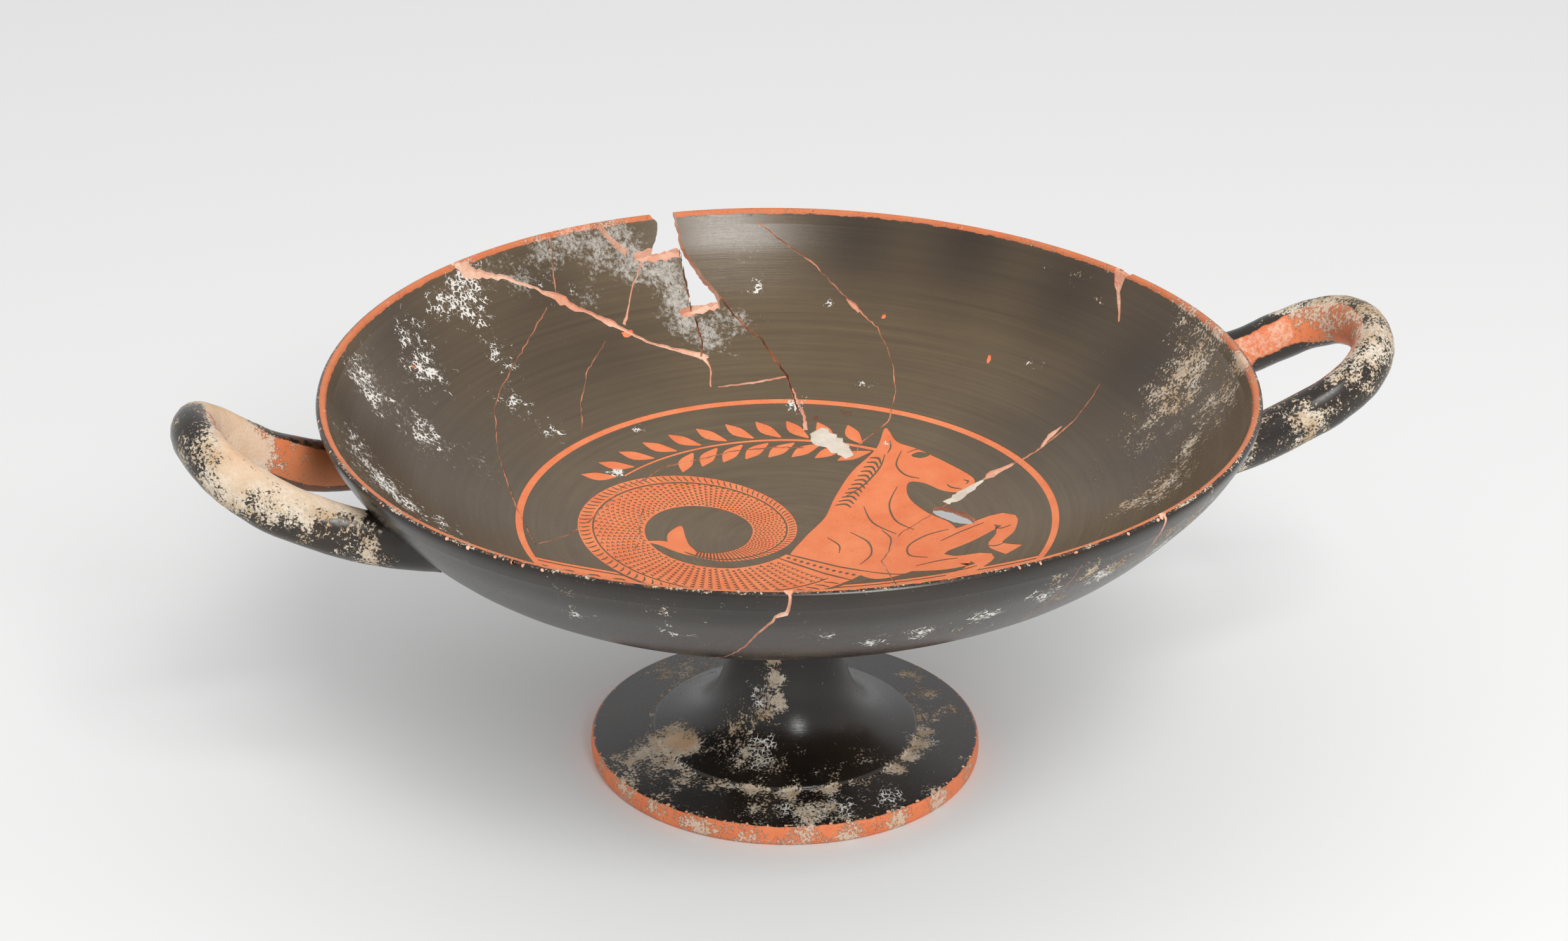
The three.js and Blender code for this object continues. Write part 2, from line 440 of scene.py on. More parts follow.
def on_coil(turn, across):
    """A place on the tail: turns from its start, and -0.5 at the inner edge to 0.5 at the outer."""
    width = COIL_WIDTH * min(1, (COIL_TURNS + 0.1 - turn) / 0.4)
    radius = COIL_RADIUS * COIL_SHRINK ** turn * (1 + width * across)
    angle = COIL_STARTS_AT - 2 * math.pi * turn
    return COIL_CENTRE + radius * np.array([math.cos(angle), math.sin(angle)])


def along_coil(start, end, across, steps):
    return [on_coil(turn, across) for turn in np.linspace(start, end, steps)]


tail_end = on_coil(COIL_TURNS, 0)
onward = tail_end - on_coil(COIL_TURNS - 0.01, 0)
onward /= np.linalg.norm(onward)
outward = np.array([-onward[1], onward[0]])
tail = along_coil(0, COIL_TURNS, 0.5, 60) + along_coil(COIL_TURNS, 0, -0.5, 60)
tail_fins = [
    closed_curve([tail_end + onward * ahead + outward * aside for ahead, aside in fin])
    for fin in (
        [(-3, 1.5), (3, 2), (8, -1), (12, -7), (12, -15), (7, -10), (2, -5), (-3, -2)],
        [(-3, 2), (3, 3), (9, 3), (14, 4.5), (10, -1), (4, -2), (-3, -2)],
    )
]
forepart = closed_curve([
    (1, -11), (6, 5), (13, 20), (17, 35), (23, 50), (32, 63), (35.5, 75), (39.5, 66), (47, 60),
    (57, 49), (65, 38), (66, 32), (61.5, 28), (55, 31), (48.5, 38), (43, 39.5), (43, 30), (49, 18),
    (57, 7), (59, -6), (51, -20), (40, -29), (30, -31), (22, -23), (12, -15),
])
near_leg = brush([(48, -7), (60, -4), (74, 3), (75, -7), (71, -16), (77, -24)],
                 [20, 14, 9.5, 6.5, 5, 8])
far_leg = brush([(44, -19), (55, -25), (66, -26), (62, -34), (55, -38), (57, -43)],
                [18, 12, 8.5, 6, 5, 8])
BRANCH_RADIUS = 70
BRANCH_FROM = 62
BRANCH_TO = 152
branch_line = [BRANCH_RADIUS * np.array([math.cos(a), math.sin(a)])
               for a in np.radians(range(BRANCH_FROM, BRANCH_TO, 6))]
branch = brush(branch_line, np.linspace(1.6, 0.8, len(branch_line)), 2)
leaves = []
for degrees in range(BRANCH_FROM + 4, BRANCH_TO, 8):
    for side in (-1, 1):
        if side < 0 and degrees > 126:
            continue
        a = math.radians(degrees + 2 * side)
        out = np.array([math.cos(a), math.sin(a)])
        on = np.array([-math.sin(a), math.cos(a)])
        root = out * (BRANCH_RADIUS + side * 1.6)
        tip = root + out * side * 9 + on * 9
        leaves.append(brush([root, (root + tip) / 2 + on, tip], [0.8, 5.2, 0.5], 4))

figures = stencil("figures", [tail], black_gloss)
combine(figures, "UNION", *[stencil("figure", [outline], black_gloss)
                            for outline in (forepart, near_leg, far_leg, *tail_fins, branch)])
combine(figures, "UNION", stencil("leaves", leaves, black_gloss))

# Relief lines and marks stand as slip on the bare clay.
head_and_neck_lines = [
    closed_curve([(44.5, 56.5), (47.5, 58), (51, 55.5), (47.8, 54.3)], 4),
    stroke([(43, 58.5), (47.5, 60), (52, 57)], 0.4),
    stroke([(62.5, 36), (64, 34.6), (63.2, 33)]),
    stroke([(61.5, 30), (58, 32.5), (56.5, 35)]),
    stroke([(41, 60), (39, 52), (42, 45), (47, 41.5)]),
    stroke([(37, 67), (37.2, 63), (36, 59.5)]),
    stroke([(21, 35), (27, 41), (33, 51), (35, 59)]),
    stroke([(39, 38), (36, 27), (38, 15), (44, 7)]),
    stroke([(27, 27), (30, 15), (38, 5)]),
]
mane = [stroke([(17 + 1.15 * i, 29 + 2.6 * i), (20.5 + 1.1 * i, 29.5 + 2.5 * i),
                (22.5 + i, 27 + 2.4 * i)], 0.9) for i in range(12)]
body_lines = [
    stroke([(56, 3), (48, 1), (42, -5), (42, -13), (48, -17)]),
    stroke([(53, -5), (60, -0.5), (68, 3)]),
    stroke([(22, 9), (28, 1), (29, -9), (25, -17)]),
    stroke([(33, 9), (36, 2), (35, -7)]),
    stroke([(14, 5), (18, -1), (18, -7)]),
    stroke([(44, -23), (52, -21.5), (58, -22)]),
    stroke([(71.5, -3), (74, -4), (77, -3)]),
    stroke([(58, -33.5), (61, -33), (64, -32)]),
    stroke([(68.5, -16), (71, -17.5), (74, -16.5)]),
    stroke([(52.5, -37.5), (55, -39), (58, -38)]),
    stroke([on_coil(0, 0.36), (36, -28), (44, -30)]),
]
collar = [stroke([on_coil(turn, a) for a in np.linspace(-0.5, 0.5, 7)], 0.7, 2)
          for turn in (0.0, 0.022)]
collar_dots = [circle(0.7, on_coil(0.011, a), 8) for a in np.linspace(-0.42, 0.42, 11)]
belly_line = [stroke(along_coil(0.03, COIL_TURNS, BELLY_AT, 90), LINE, 1)]
belly_bars, scales = [], []
turn = 0.036
while turn < COIL_TURNS - 0.03:
    size = COIL_SHRINK ** turn
    belly_bars.append(stroke([on_coil(turn + 0.004, 0.32), on_coil(turn, 0.4),
                              on_coil(turn - 0.001, 0.475)], 0.6 * size + 0.1, 2))
    offset = 0.035 * (len(belly_bars) % 2)
    for across in np.arange(-0.44 + offset, 0.24, 0.07 + 0.05 * (1 - size)):
        scales.append(stroke([on_coil(turn - 0.0025, across - 0.024), on_coil(turn + 0.0018, across),
                              on_coil(turn - 0.0025, across + 0.024)], 0.32 + 0.3 * size, 1))
    turn += BAR_PITCH
for marks in (head_and_neck_lines, mane, body_lines, collar, collar_dots, belly_line, belly_bars,
              scales):
    combine(figures, "DIFFERENCE", stencil("marks", marks, black_gloss))

# The sea fills the round below a line, and keeps a rim of slip round the coil that dips into it.
sea = stencil("sea", [[(-105, SEA_TOP), (105, SEA_TOP), (105, -120), (-105, -120)]], black_gloss)
around_coil = along_coil(0, 0.5, 0.54, 40) + along_coil(0.5, 0, -0.5, 40)
combine(sea, "DIFFERENCE", stencil("around_coil", [around_coil], black_gloss))
waves = [brush([(-105, SEA_TOP - 2.2), (0, SEA_TOP - 2.2), (105, SEA_TOP - 2.2)], [LINE] * 3, 1)]
for row in range(5):
    for i in range(-10, 10):
        x, y = 8.5 * i + 4 * (row % 2), SEA_TOP - 6 - 9.5 * row
        waves.append(stroke([(x, y - 5.5), (x + 1.6, y - 1), (x + 4.6, y), (x + 5.6, y - 2.4),
                             (x + 4.0, y - 3.6), (x + 3.2, y - 2.4)], 0.8, 3))
combine(sea, "DIFFERENCE", stencil("waves", waves, black_gloss))
ring = stencil("ring", [circle(RING_OUTER)], black_gloss)
combine(ring, "DIFFERENCE", stencil("round", [circle(RING_INNER)], black_gloss))
inner_round = stencil("inner_round", [circle(RING_INNER + 0.5)], black_gloss)
combine(figures, "UNION", sea)
combine(figures, "INTERSECT", inner_round)
combine(figures, "UNION", ring)
bowl_floor = inside_line[inside_line[:, 0] < RING_OUTER + 8]
combine(figures, "INTERSECT", skin_zone("floor_zone", bowl_floor, 5 * SLIP_THICKNESS, 2, black_gloss))
combine(cup, "DIFFERENCE", figures)
combine(cup, "UNION", clay_body)


# ---------------------------------------------------------------- breaks and mends
# The cup was broken into sherds and glued. A piece of the rim is lost at the back, and a sliver of
# the floor; edges of sherds are chipped to pink clay, and some of the gaps are filled with plaster.
# Places are degrees round the cup from +X and millimetres from its axis.

broken_clay = bpy.data.materials.new("broken_clay")
glued_join = bpy.data.materials.new("glued_join")
plaster = bpy.data.materials.new("plaster")
chips = random.Random(11)

# The gap's outline lies square to the rim's slope, across and up from its place.
GAP_SLOPE = 50.0
GAP_PLACE = (0, 135, 115)
GAP_HALF_DEPTH = 12
GAP_OUTLINE = [
    (-9, 50), (-9, 38), (-6, 34), (-6.8, 30), (-10.3, 22.5), (1.3, 24.5), (1.5, 12), (1.4, 0),
    (13, 1.2), (12, 5.5), (8.2, 11.3), (2.4, 24), (2.4, 27), (1.9, 31), (1, 38), (1, 50),
]
SLIVER_PLACE = (61.5, 3.8)
SLIVER_LENGTH = 19
SLIVER_WIDTH = 8
SLIVER_TURN = -62
SLIVER_SLANT = (-0.42, -1.44)  # across for each millimetre up
SLIVER_BOTTOM = 70
SLIVER_TOP = 88
FRACTURE_STEP = 1.6
FRACTURE_ROUGHNESS = 0.22
FLAKE_CORNERS = 11
ABOVE_THE_SKIN = 1.5  # how far a shallow cutter stands proud of the clay


def polar(degrees, radius):
    angle = math.radians(degrees)
    return np.array([radius * math.cos(angle), radius * math.sin(angle)])


def crumbled(points, step, rough):
    """Points along a broken line, evenly apart, each put a little out of place."""
    points = np.array(points, float)
    line = []
    for start, end in zip(points[:-1], points[1:]):
        pieces = max(1, round(np.linalg.norm((end - start)[:2]) / step))
        for t in np.arange(pieces) / pieces:
            place = start + (end - start) * t
            if line:
                place[:2] += [chips.uniform(-rough, rough), chips.uniform(-rough, rough)]
            line.append(place)
    return np.vstack([line, points[-1:]])


def fracture(points):
    """The outline of a break along (degrees, radius, width), with crumbled edges."""
    line = crumbled([(*polar(degrees, radius), width) for degrees, radius, width in points],
                    FRACTURE_STEP, FRACTURE_ROUGHNESS)
    half = sideways(line[:, :2]) * line[:, 2:] / 2
    sides = []
    for side in (1, -1):
        uneven = np.array([chips.uniform(0.7, 1.3) for _ in line])[:, None]
        sides.append(line[:, :2] + side * half * uneven)
    return np.vstack([sides[0], sides[1][::-1]])


def scar(degrees, radius, long, wide, turn):
    """The outline of a place where a flake came off."""
    centre = polar(degrees, radius)
    angles = np.linspace(0, 2 * math.pi, FLAKE_CORNERS, endpoint=False)
    size = np.array([chips.uniform(0.7, 1.15) for _ in angles])
    x, y = long / 2 * size * np.cos(angles), wide / 2 * size * np.sin(angles)
    turn = math.radians(turn)
    return np.stack([centre[0] + x * math.cos(turn) - y * math.sin(turn),
                     centre[1] + x * math.sin(turn) + y * math.cos(turn)], 1)


# The lost piece of the rim and the lost sliver go right through the wall.
gap_edge = crumbled([*GAP_OUTLINE, GAP_OUTLINE[0]], 1.1, 0.2)[:-1]
gap = stencil("gap", [gap_edge], broken_clay, 0, -GAP_HALF_DEPTH, GAP_HALF_DEPTH)
place_points(gap, [Vector(GAP_PLACE) * MM + Matrix.Rotation(math.radians(GAP_SLOPE), 3, "X")
                   @ vertex.co for vertex in gap.data.vertices])
sliver_edge = []
for degrees in range(0, 360, 15):
    along, across = polar(degrees, 0.5) * (SLIVER_LENGTH, SLIVER_WIDTH)
    turned_by = math.radians(SLIVER_TURN)
    sliver_edge.append((
        SLIVER_PLACE[0] + along * math.cos(turned_by) - across * math.sin(turned_by)
        + chips.uniform(-0.25, 0.25),
        SLIVER_PLACE[1] + along * math.sin(turned_by) + across * math.cos(turned_by)
        + chips.uniform(-0.25, 0.25),
    ))
sliver = stencil("sliver", [sliver_edge], broken_clay, 0, SLIVER_BOTTOM, SLIVER_TOP)
place_points(sliver, [
    vertex.co + Vector(SLIVER_SLANT).to_3d() * (vertex.co.z - inside_line[0, 1] * MM)
    for vertex in sliver.data.vertices
])
for hole in (gap, sliver):
    make_active(hole)
    modifier = hole.modifiers.new("fine", "REMESH")
    modifier.mode = "VOXEL"
    modifier.voxel_size = 0.7 * MM
    bpy.ops.object.modifier_apply(modifier=modifier.name)
    coarse_grain = bpy.data.textures.new("fracture_grain", "CLOUDS")
    coarse_grain.noise_scale = 2.2 * MM
    modifier = hole.modifiers.new("grain", "DISPLACE")
    modifier.texture = coarse_grain
    modifier.texture_coords = "LOCAL"
    modifier.strength = 0.9 * MM
    modifier.mid_level = 0.5
    bpy.ops.object.modifier_apply(modifier=modifier.name)
    hole.data.materials.clear()
    hole.data.materials.append(broken_clay)
combine(cup, "DIFFERENCE", gap, sliver)

# The sherds' joins, as lines of (degrees, radius, width). Those on the outside come last.
flaked_joins = [
    [(124.4, 158, 2.8), (122.4, 155.6, 3.2), (119.5, 153.6, 1.2), (116.8, 152, 1.0),
     (113.3, 148, 0.9), (111.3, 145, 1.6), (110, 143.5, 3.6), (108.9, 140.7, 2.4),
     (106.5, 138, 0.9), (103.6, 133.7, 2.4), (101.4, 130, 0.9), (98.2, 124, 0.9),
     (94.2, 120, 1.5), (89.9, 116, 3.2), (88.6, 115, 0.8)],
    [(89.9, 116.5, 2.1), (89.2, 113, 1.3), (88.8, 109.6, 0.6), (90, 101.4, 0.7)],
    [(88.5, 101, 0.6), (80.1, 102.2, 0.9), (73.8, 104.5, 0.7)],
    [(94.2, 151, 0.5), (95.3, 148.9, 0.6), (97.8, 143.2, 0.5), (99.7, 136.9, 0.6), (101.3, 132, 1.3)],
    [(72.7, 99, 0.6), (69.5, 84, 1.1), (68.7, 76, 1.8)],
    [(22.8, 160, 5.6), (22.8, 158, 7.2), (22.8, 156.6, 6.4), (22.6, 155, 3.2), (22, 153, 1.1),
     (19.3, 147.4, 0.6)],
    [(64.5, 136.5, 0.6), (63, 134.7, 2.1), (62.2, 132.5, 0.6)],
    [(12.6, 112, 0.6), (12.2, 107, 2.1), (11.2, 103, 1.4), (10.3, 98.3, 0.6)],
    [(10.4, 90, 1), (10.3, 85, 2.9), (10.2, 80.2, 3.7), (9.6, 77, 0.8)],
]
plaster_fills = [
    [(9.4, 77, 1.2), (8, 71, 3.2), (6.6, 66, 4.6), (5.5, 60, 3.4)],
    [(66, 76, 7), (62, 71, 9), (57, 67.5, 7), (53, 63, 4)],
]
bevelled_edges = [
    [(91.5, 133, 2.2), (88.6, 133.8, 3.6), (84.8, 135, 3.0)],
    [(96.5, 150.2, 2), (93, 150.2, 3.4), (89.6, 150.2, 3.0)],
    [(101, 158.5, 1.8), (99.6, 155, 1.4), (97.4, 151.5, 1.8)],
]
hairlines = [
    [(112.7, 142, 0.49), (117.4, 136.5, 0.39), (123.6, 130.4, 0.39), (129.5, 125.3, 0.49),
     (134.4, 120.5, 0.39), (144.7, 108.2, 0.39), (154.1, 98.8, 0.49), (161.8, 93.9, 0.59),
     (170, 90, 0.49), (179.1, 88.4, 0.39), (171.2, 75.6, 0.39), (159.3, 68.2, 0.49)],
    [(105.7, 128, 0.39), (112.1, 119, 0.39), (118.2, 107.6, 0.39), (124, 96, 0.39)],
    [(78.2, 156, 0.29), (72.7, 149.4, 0.49), (69.6, 145.4, 0.49), (67.3, 141.3, 0.39),
     (63, 134.7, 0.59), (58.6, 128, 0.39), (55.9, 121, 0.49), (54.1, 115.4, 0.39), (51, 103, 0.49),
     (48.5, 87, 0.59), (52, 72, 0.49), (51.7, 61.3, 0.39)],
    [(14.6, 131, 0.29), (13.6, 125.6, 0.39), (11.9, 116.6, 0.59), (10.3, 98.3, 0.88),
     (10.4, 88.5, 0.78)],
    [(159.3, 68.2, 0.49), (142.3, 65.7, 0.59), (134.9, 66.7, 0.49), (126.1, 64, 0.69),
     (116.8, 66, 0.59), (102.1, 64.2, 0.69), (91.3, 65.6, 0.49), (78.2, 65.9, 0.78),
     (68.7, 66, 0.78)],
    [(176.2, 53.2, 0.49), (163, 51, 0.49), (150, 53, 0.59), (142.5, 54.2, 0.39)],
    [(108.1, 157.5, 0.49), (108.8, 153, 0.39), (109.8, 148, 0.49), (110.5, 144, 0.49)],
    [(6.1, 64.8, 0.49), (352, 40, 0.49), (318, 36, 0.59), (296, 55, 0.49), (286, 92, 0.49),
     (285.5, 128, 0.49), (286.9, 151.7, 0.49), (288, 158, 0.59)],
]
open_joins = [
    [(84.5, 137, 0.7), (83.1, 131.9, 0.7), (80.6, 125.5, 0.9), (78.3, 120.9, 0.7),
     (76.4, 113.5, 0.9), (73.8, 104.5, 0.8), (73.1, 99.4, 0.8), (71, 86, 0.6)],
    [(89.5, 151, 0.5), (89.6, 143, 0.5), (89.5, 134.6, 0.6)],
    [(89.4, 134.6, 0.6), (89.2, 130.4, 0.6), (89, 121.6, 0.6), (89.9, 116.2, 0.8)],
]
# Lost flakes: degrees, radius, length, width and turn.
flakes = [(37.2, 124.5, 3.6, 1.8, 60), (142, 143, 2.0, 1.2, 0), (101.5, 129, 5, 2.4, 20),
          (309, 157.5, 3, 2, 40), (264, 157.6, 4, 1.6, 0), (58, 132, 2.2, 1.4, 0)]
outside_joins = [
    [(254, 162, 1.0), (253.6, 158, 1.3), (252.4, 157, 0.9), (250.6, 151.7, 0.7), (248.4, 142, 0.6),
     (247, 137, 0.4), (243, 124, 0.3), (238, 110, 0.3)],
    [(300.5, 162, 1.2), (300.6, 156, 0.5), (301, 149, 0.3)],
    [(86, 158, 0.5), (86, 140, 0.5), (80, 118, 0.5), (70, 92, 0.6), (66, 66, 0.5), (52, 40, 0.5)],
    [(118, 158, 0.9), (112, 140, 0.8), (96, 121, 1.0), (84, 116, 0.6)],
    [(120, 136, 0.4), (140, 118, 0.5), (168, 88, 0.4), (178, 60, 0.5)],
    [(74, 152, 0.4), (60, 130, 0.5), (50, 96, 0.5), (40, 66, 0.5)],
    [(22.8, 160, 5), (22.6, 156.5, 2), (20, 149, 0.5), (13, 124, 0.5), (11, 96, 0.8),
     (8, 72, 1.2), (4, 52, 0.6)],
    [(318, 36, 0.4), (300, 60, 0.4), (287, 96, 0.3), (286, 128, 0.3), (288, 159, 0.3)],
]

up_to_lip = np.vstack([wall_outside, outside_parts["lip"][1:]])
for line, joins, deep, material in (
    (inside_line, plaster_fills, 0.35, plaster),
    (inside_line, bevelled_edges, 1.8, broken_clay),
    (inside_line, flaked_joins, 0.55, broken_clay),
    (inside_line, hairlines, 0.3, glued_join),
    (inside_line, open_joins, 1.5, glued_join),
    (up_to_lip, outside_joins, 0.45, broken_clay),
):
    cuts = stencils("cuts", [fracture(points) for points in joins], material)
    zone = skin_zone("join_zone", line, deep, ABOVE_THE_SKIN, material)
    combine(cup, "DIFFERENCE", combine(cuts, "INTERSECT", zone))
cuts = stencils("flakes", [scar(*flake) for flake in flakes], orange_clay)
combine(cuts, "INTERSECT",
        skin_zone("flake_zone", inside_line, 0.3, ABOVE_THE_SKIN, orange_clay))
combine(cup, "DIFFERENCE", cuts)


# The lip and the foot's edge have lost many crumbs.
def crumbs(name, places, size, material):
    """Small rough lumps at points, as one cutter."""
    lumps = []
    for place in places:
        bpy.ops.mesh.primitive_ico_sphere_add(subdivisions=1, radius=1)
        lump = bpy.context.active_object
        lump.scale = [size * MM * chips.uniform(0.5, 1.5) for _ in range(3)]
        lump.rotation_euler = [chips.uniform(0, 6) for _ in range(3)]
        lump.location = Vector(place) * MM
        lump.data.materials.append(material)
        lumps.append(lump)
    bpy.ops.object.select_all(action="DESELECT")
    for lump in lumps:
        lump.select_set(True)
    bpy.context.view_layer.objects.active = lumps[0]
    bpy.ops.object.join()
    bpy.ops.object.transform_apply()
    lumps[0].name = name
    return lumps[0]


def round_the_edge(radius, height, degrees, drift):
    """A place on a turned edge, a little off it, where the cup lies after the firing."""
    x, y = polar(degrees, radius + chips.uniform(-drift, drift))
    return settled(np.array([[x, y, height]]))[0]


# Crumbs run from one angle to another, so many of them. A chip has its angle and its size.
LIP_CRUMBS = ((165, 232, 22), (276, 312, 7), (312, 372, 9), (38, 80, 7), (100, 140, 10))
FOOT_CRUMBS = ((180, 360, 30), (0, 180, 16))
LIP_CHIPS = ((22, 2.3), (24, 1.9), (253.8, 1.5), (300.5, 1.4), (124.4, 1.9), (107.5, 1.3))
for start, end, count in LIP_CRUMBS:
    angles = [chips.uniform(start, end) for _ in range(count)]
    places = [round_the_edge(LIP_RADIUS - chips.choice((0.3, 0.5, 3.0)), LIP_HEIGHT - 0.6, a, 0.3)
              for a in angles]
    combine(cup, "DIFFERENCE", crumbs("lip_crumbs", places, 0.65, broken_clay))
for degrees, size in LIP_CHIPS:
    place = round_the_edge(LIP_RADIUS - 1.6, LIP_HEIGHT + 0.3, degrees, 0)
    combine(cup, "DIFFERENCE", crumbs("lip_chip", [place], size, broken_clay))
for start, end, count in FOOT_CRUMBS:
    angles = [start + (end - start) * (i + chips.uniform(0.1, 0.6)) / count for i in range(count)]
    places = [round_the_edge(FOOT_RADIUS - 0.9, FOOT_EDGE_HEIGHT + 0.1, a, 0.3) for a in angles]
    combine(cup, "DIFFERENCE", crumbs("foot_crumbs", places, 0.8, broken_clay))


# ---------------------------------------------------------------- the surface of the fired pot
# Slip, bare clay and fracture share one finish, which the ground changed in places: a tan crust, white
# flecks of lime, a pale hazy film, and slip worn thin. Painted light is mixed in: a sheen in some of the
# pale film, a dark reflection on the slip, a darker shaded outside, and shade on the right handle.
# Places are listed by surface, each with its degrees round the cup, its radius (its height on the stem
# and the edge), its size and its cover.

crust_spots = {
    "inside": [
        (8, 155, 10, 0.49), (1, 153, 13, 0.49), (3, 142, 14, 0.46), (356, 144, 15, 0.49),
        (358, 128, 14, 0.42), (352, 112, 13, 0.34), (335, 117, 13, 0.42), (336, 131, 14, 0.5),
        (347, 151, 12, 0.52), (351, 157, 9, 0.56), (344, 138, 13, 0.5), (20, 141, 7, 0.3),
        (24, 151, 6, 0.36), (30, 154, 9, 0.33), (36, 156, 8, 0.29),
    ],
    "lip": [
        (0, 158, 6, 0.6), (352, 158, 6, 0.6), (8, 158, 6, 0.5), (190, 158, 8, 0.42), (202, 158, 9, 0.55),
        (214, 158, 9, 0.5), (228, 158, 8, 0.45), (242, 158, 8, 0.4), (288, 158, 8, 0.4),
        (304, 158, 8, 0.5), (318, 158, 8, 0.4), (100, 158, 9, 0.55), (112, 158, 9, 0.4),
        (124, 158, 6, 0.4), (24, 158, 6, 0.5),
    ],
    "wall": [
        (240, 156, 6, 0.3), (229, 158, 7, 0.3), (258, 148, 5, 0.34), (285, 156, 5, 0.5),
        (290, 155, 6, 0.55), (295, 154, 6, 0.55), (303, 156, 6, 0.5), (309, 157, 7, 0.5),
        (316, 156, 9, 0.5), (300, 149, 7, 0.42), (310, 150, 9, 0.45), (330, 152, 14, 0.5),
        (340, 142, 14, 0.44), (275, 142, 7, 0.36), (288, 146, 8, 0.36), (60, 130, 30, 0.34),
        (100, 110, 26, 0.36), (150, 130, 30, 0.3), (30, 100, 24, 0.36), (200, 100, 26, 0.28),
    ],
    "stem": [
        (186, 11.6, 7, 0.95), (196, 12, 6, 0.85), (174, 12, 5, 0.5), (226, 50, 7, 0.5),
        (243, 46, 4, 0.7), (245, 38, 4, 0.72), (248, 30, 3.5, 0.7), (236, 27, 6, 0.42),
        (222, 22, 8, 0.34), (212, 16, 8, 0.3), (230, 14, 8, 0.36), (246, 13, 7, 0.34),
        (270, 12, 7, 0.28), (300, 11.6, 7, 0.26), (90, 40, 20, 0.34),
    ],
    "foot": [
        (184, 52, 7, 0.62), (190, 60, 7, 0.5), (200, 52, 6, 0.6), (213, 54, 6, 0.6), (226, 50, 5, 0.5),
        (240, 49, 4, 0.6), (256, 49, 4, 0.65), (272, 49, 4, 0.6), (286, 49, 4, 0.5), (245, 57, 6, 0.45),
        (258, 58, 6, 0.5), (270, 59, 6, 0.5), (262, 64, 5, 0.5), (305, 49.5, 4, 0.85),
        (316, 49.5, 4, 0.95), (328, 49.5, 4, 0.9), (338, 50, 4, 0.75), (352, 52, 5, 0.5),
        (10, 56, 7, 0.6), (25, 60, 7, 0.55), (355, 60, 6, 0.4), (120, 58, 14, 0.4), (60, 58, 14, 0.5),
    ],
    "edge": [
        (186, 4, 7, 0.45), (200, 4, 8, 0.62), (214, 4, 7, 0.5), (228, 3, 7, 0.6), (243, 2.5, 7, 0.6),
        (258, 2, 7, 0.62), (272, 2, 7, 0.6), (288, 3, 7, 0.62), (304, 4, 7, 0.6), (322, 4, 6, 0.5),
        (350, 4, 6, 0.45), (90, 4, 30, 0.4),
    ],
}
lime_spots = {
    "inside": [
        (125, 152, 8, 0.53), (122, 156, 7, 0.48), (140, 141, 10, 0.55), (153, 129, 10, 0.48),
        (125, 134, 8, 0.44), (130, 119, 8, 0.44), (130, 102, 7, 0.44), (154, 152, 8, 0.44),
        (155, 145, 8, 0.48), (138, 151, 8, 0.44), (130, 152, 8, 0.48), (177, 140, 8, 0.44),
        (178, 132, 8, 0.48), (181, 120, 8, 0.44), (171, 147, 8, 0.4), (125, 146, 8, 0.44),
        (79, 139, 3, 0.8), (67, 135, 3, 0.55), (57, 103, 3, 0.6), (130, 73, 3, 0.9), (45, 74, 3, 0.5),
        (112, 87, 3, 0.5), (72, 90, 4, 0.6), (29, 128, 3, 0.5), (150, 142, 30, 0.1),
        (176, 146, 26, 0.16), (196, 148, 22, 0.16), (110, 150, 18, 0.16), (352, 140, 30, 0.14),
    ],
    "wall": [
        (228, 150, 6, 0.42), (240, 147, 5, 0.4), (264.6, 141, 5, 0.6), (270, 144, 5, 0.6),
        (277.5, 148, 6, 0.62), (285, 151, 6, 0.62), (294, 151, 7, 0.6), (305, 150, 7, 0.62),
        (311, 155, 7, 0.5), (258, 148, 4, 0.5), (280, 138, 5, 0.3), (190, 120, 24, 0.3),
    ],
    "stem": [
        (232, 30, 6, 0.5), (238, 15, 8, 0.62),
    ],
    "foot": [
        (255, 58, 7, 0.5), (272, 60, 7, 0.6), (290, 60, 7, 0.5), (330, 49, 6, 0.6),
    ],
}
# Painted sheen: the spots at 77 to 84 degrees, near the lip right of the gap, paint a reflection; the
# others are a pale film.
haze_and_sheen_spots = {
    "inside": [
        (110, 155, 8, 0.65), (105, 156, 8, 0.7), (102, 152, 9, 0.65), (98, 154, 9, 0.76),
        (97, 146, 8, 0.76), (92, 145, 8, 0.82), (91, 137, 8, 0.77), (92, 128, 8, 0.69),
        (88, 120, 6, 0.69), (115, 150, 8, 0.52), (106, 141, 7, 0.52), (180, 150, 18, 0.31),
        (196, 150, 18, 0.31), (350, 140, 24, 0.26), (150, 110, 14, 0.26), (84, 156, 10, 0.43),
        (80, 149, 8, 0.31), (77, 153, 9, 0.31), (87, 127, 8, 0.65), (81.5, 128, 8, 0.65),
        (84, 112, 6, 0.33), (118, 155, 10, 0.38), (160, 120, 25, 0.21), (150, 150, 20, 0.27),
    ],
    "wall": [
        (340, 140, 20, 0.26), (300, 140, 26, 0.21), (90, 140, 60, 0.21),
    ],
}
# Painted dark reflection: in these places the slip's colour is darkened to stand for dark surroundings
# mirrored in its gloss.
dark_reflection_spots = {
    "inside": [
        (64, 153, 22, 0.98), (48, 154, 24, 1.0), (30, 150, 24, 0.92), (10, 142, 30, 0.98),
        (350, 124, 26, 0.69), (140, 150, 26, 0.69), (120, 125, 30, 0.5), (150, 120, 36, 0.5),
        (176, 110, 34, 0.5), (106, 124, 20, 0.5), (15, 106, 26, 0.5), (165, 146, 28, 0.8),
        (190, 148, 26, 0.69), (112, 148, 16, 0.57),
    ],
}
wear_spots = {
    "inside": [
        (60, 88, 4, 0.75), (66, 85, 4, 0.6), (100, 60, 5, 0.35),
    ],
    "wall": [
        (262, 154, 4, 0.3), (292, 154, 5, 0.3),
    ],
    "stem": [
        (90, 60, 20, 0.3),
    ],
}
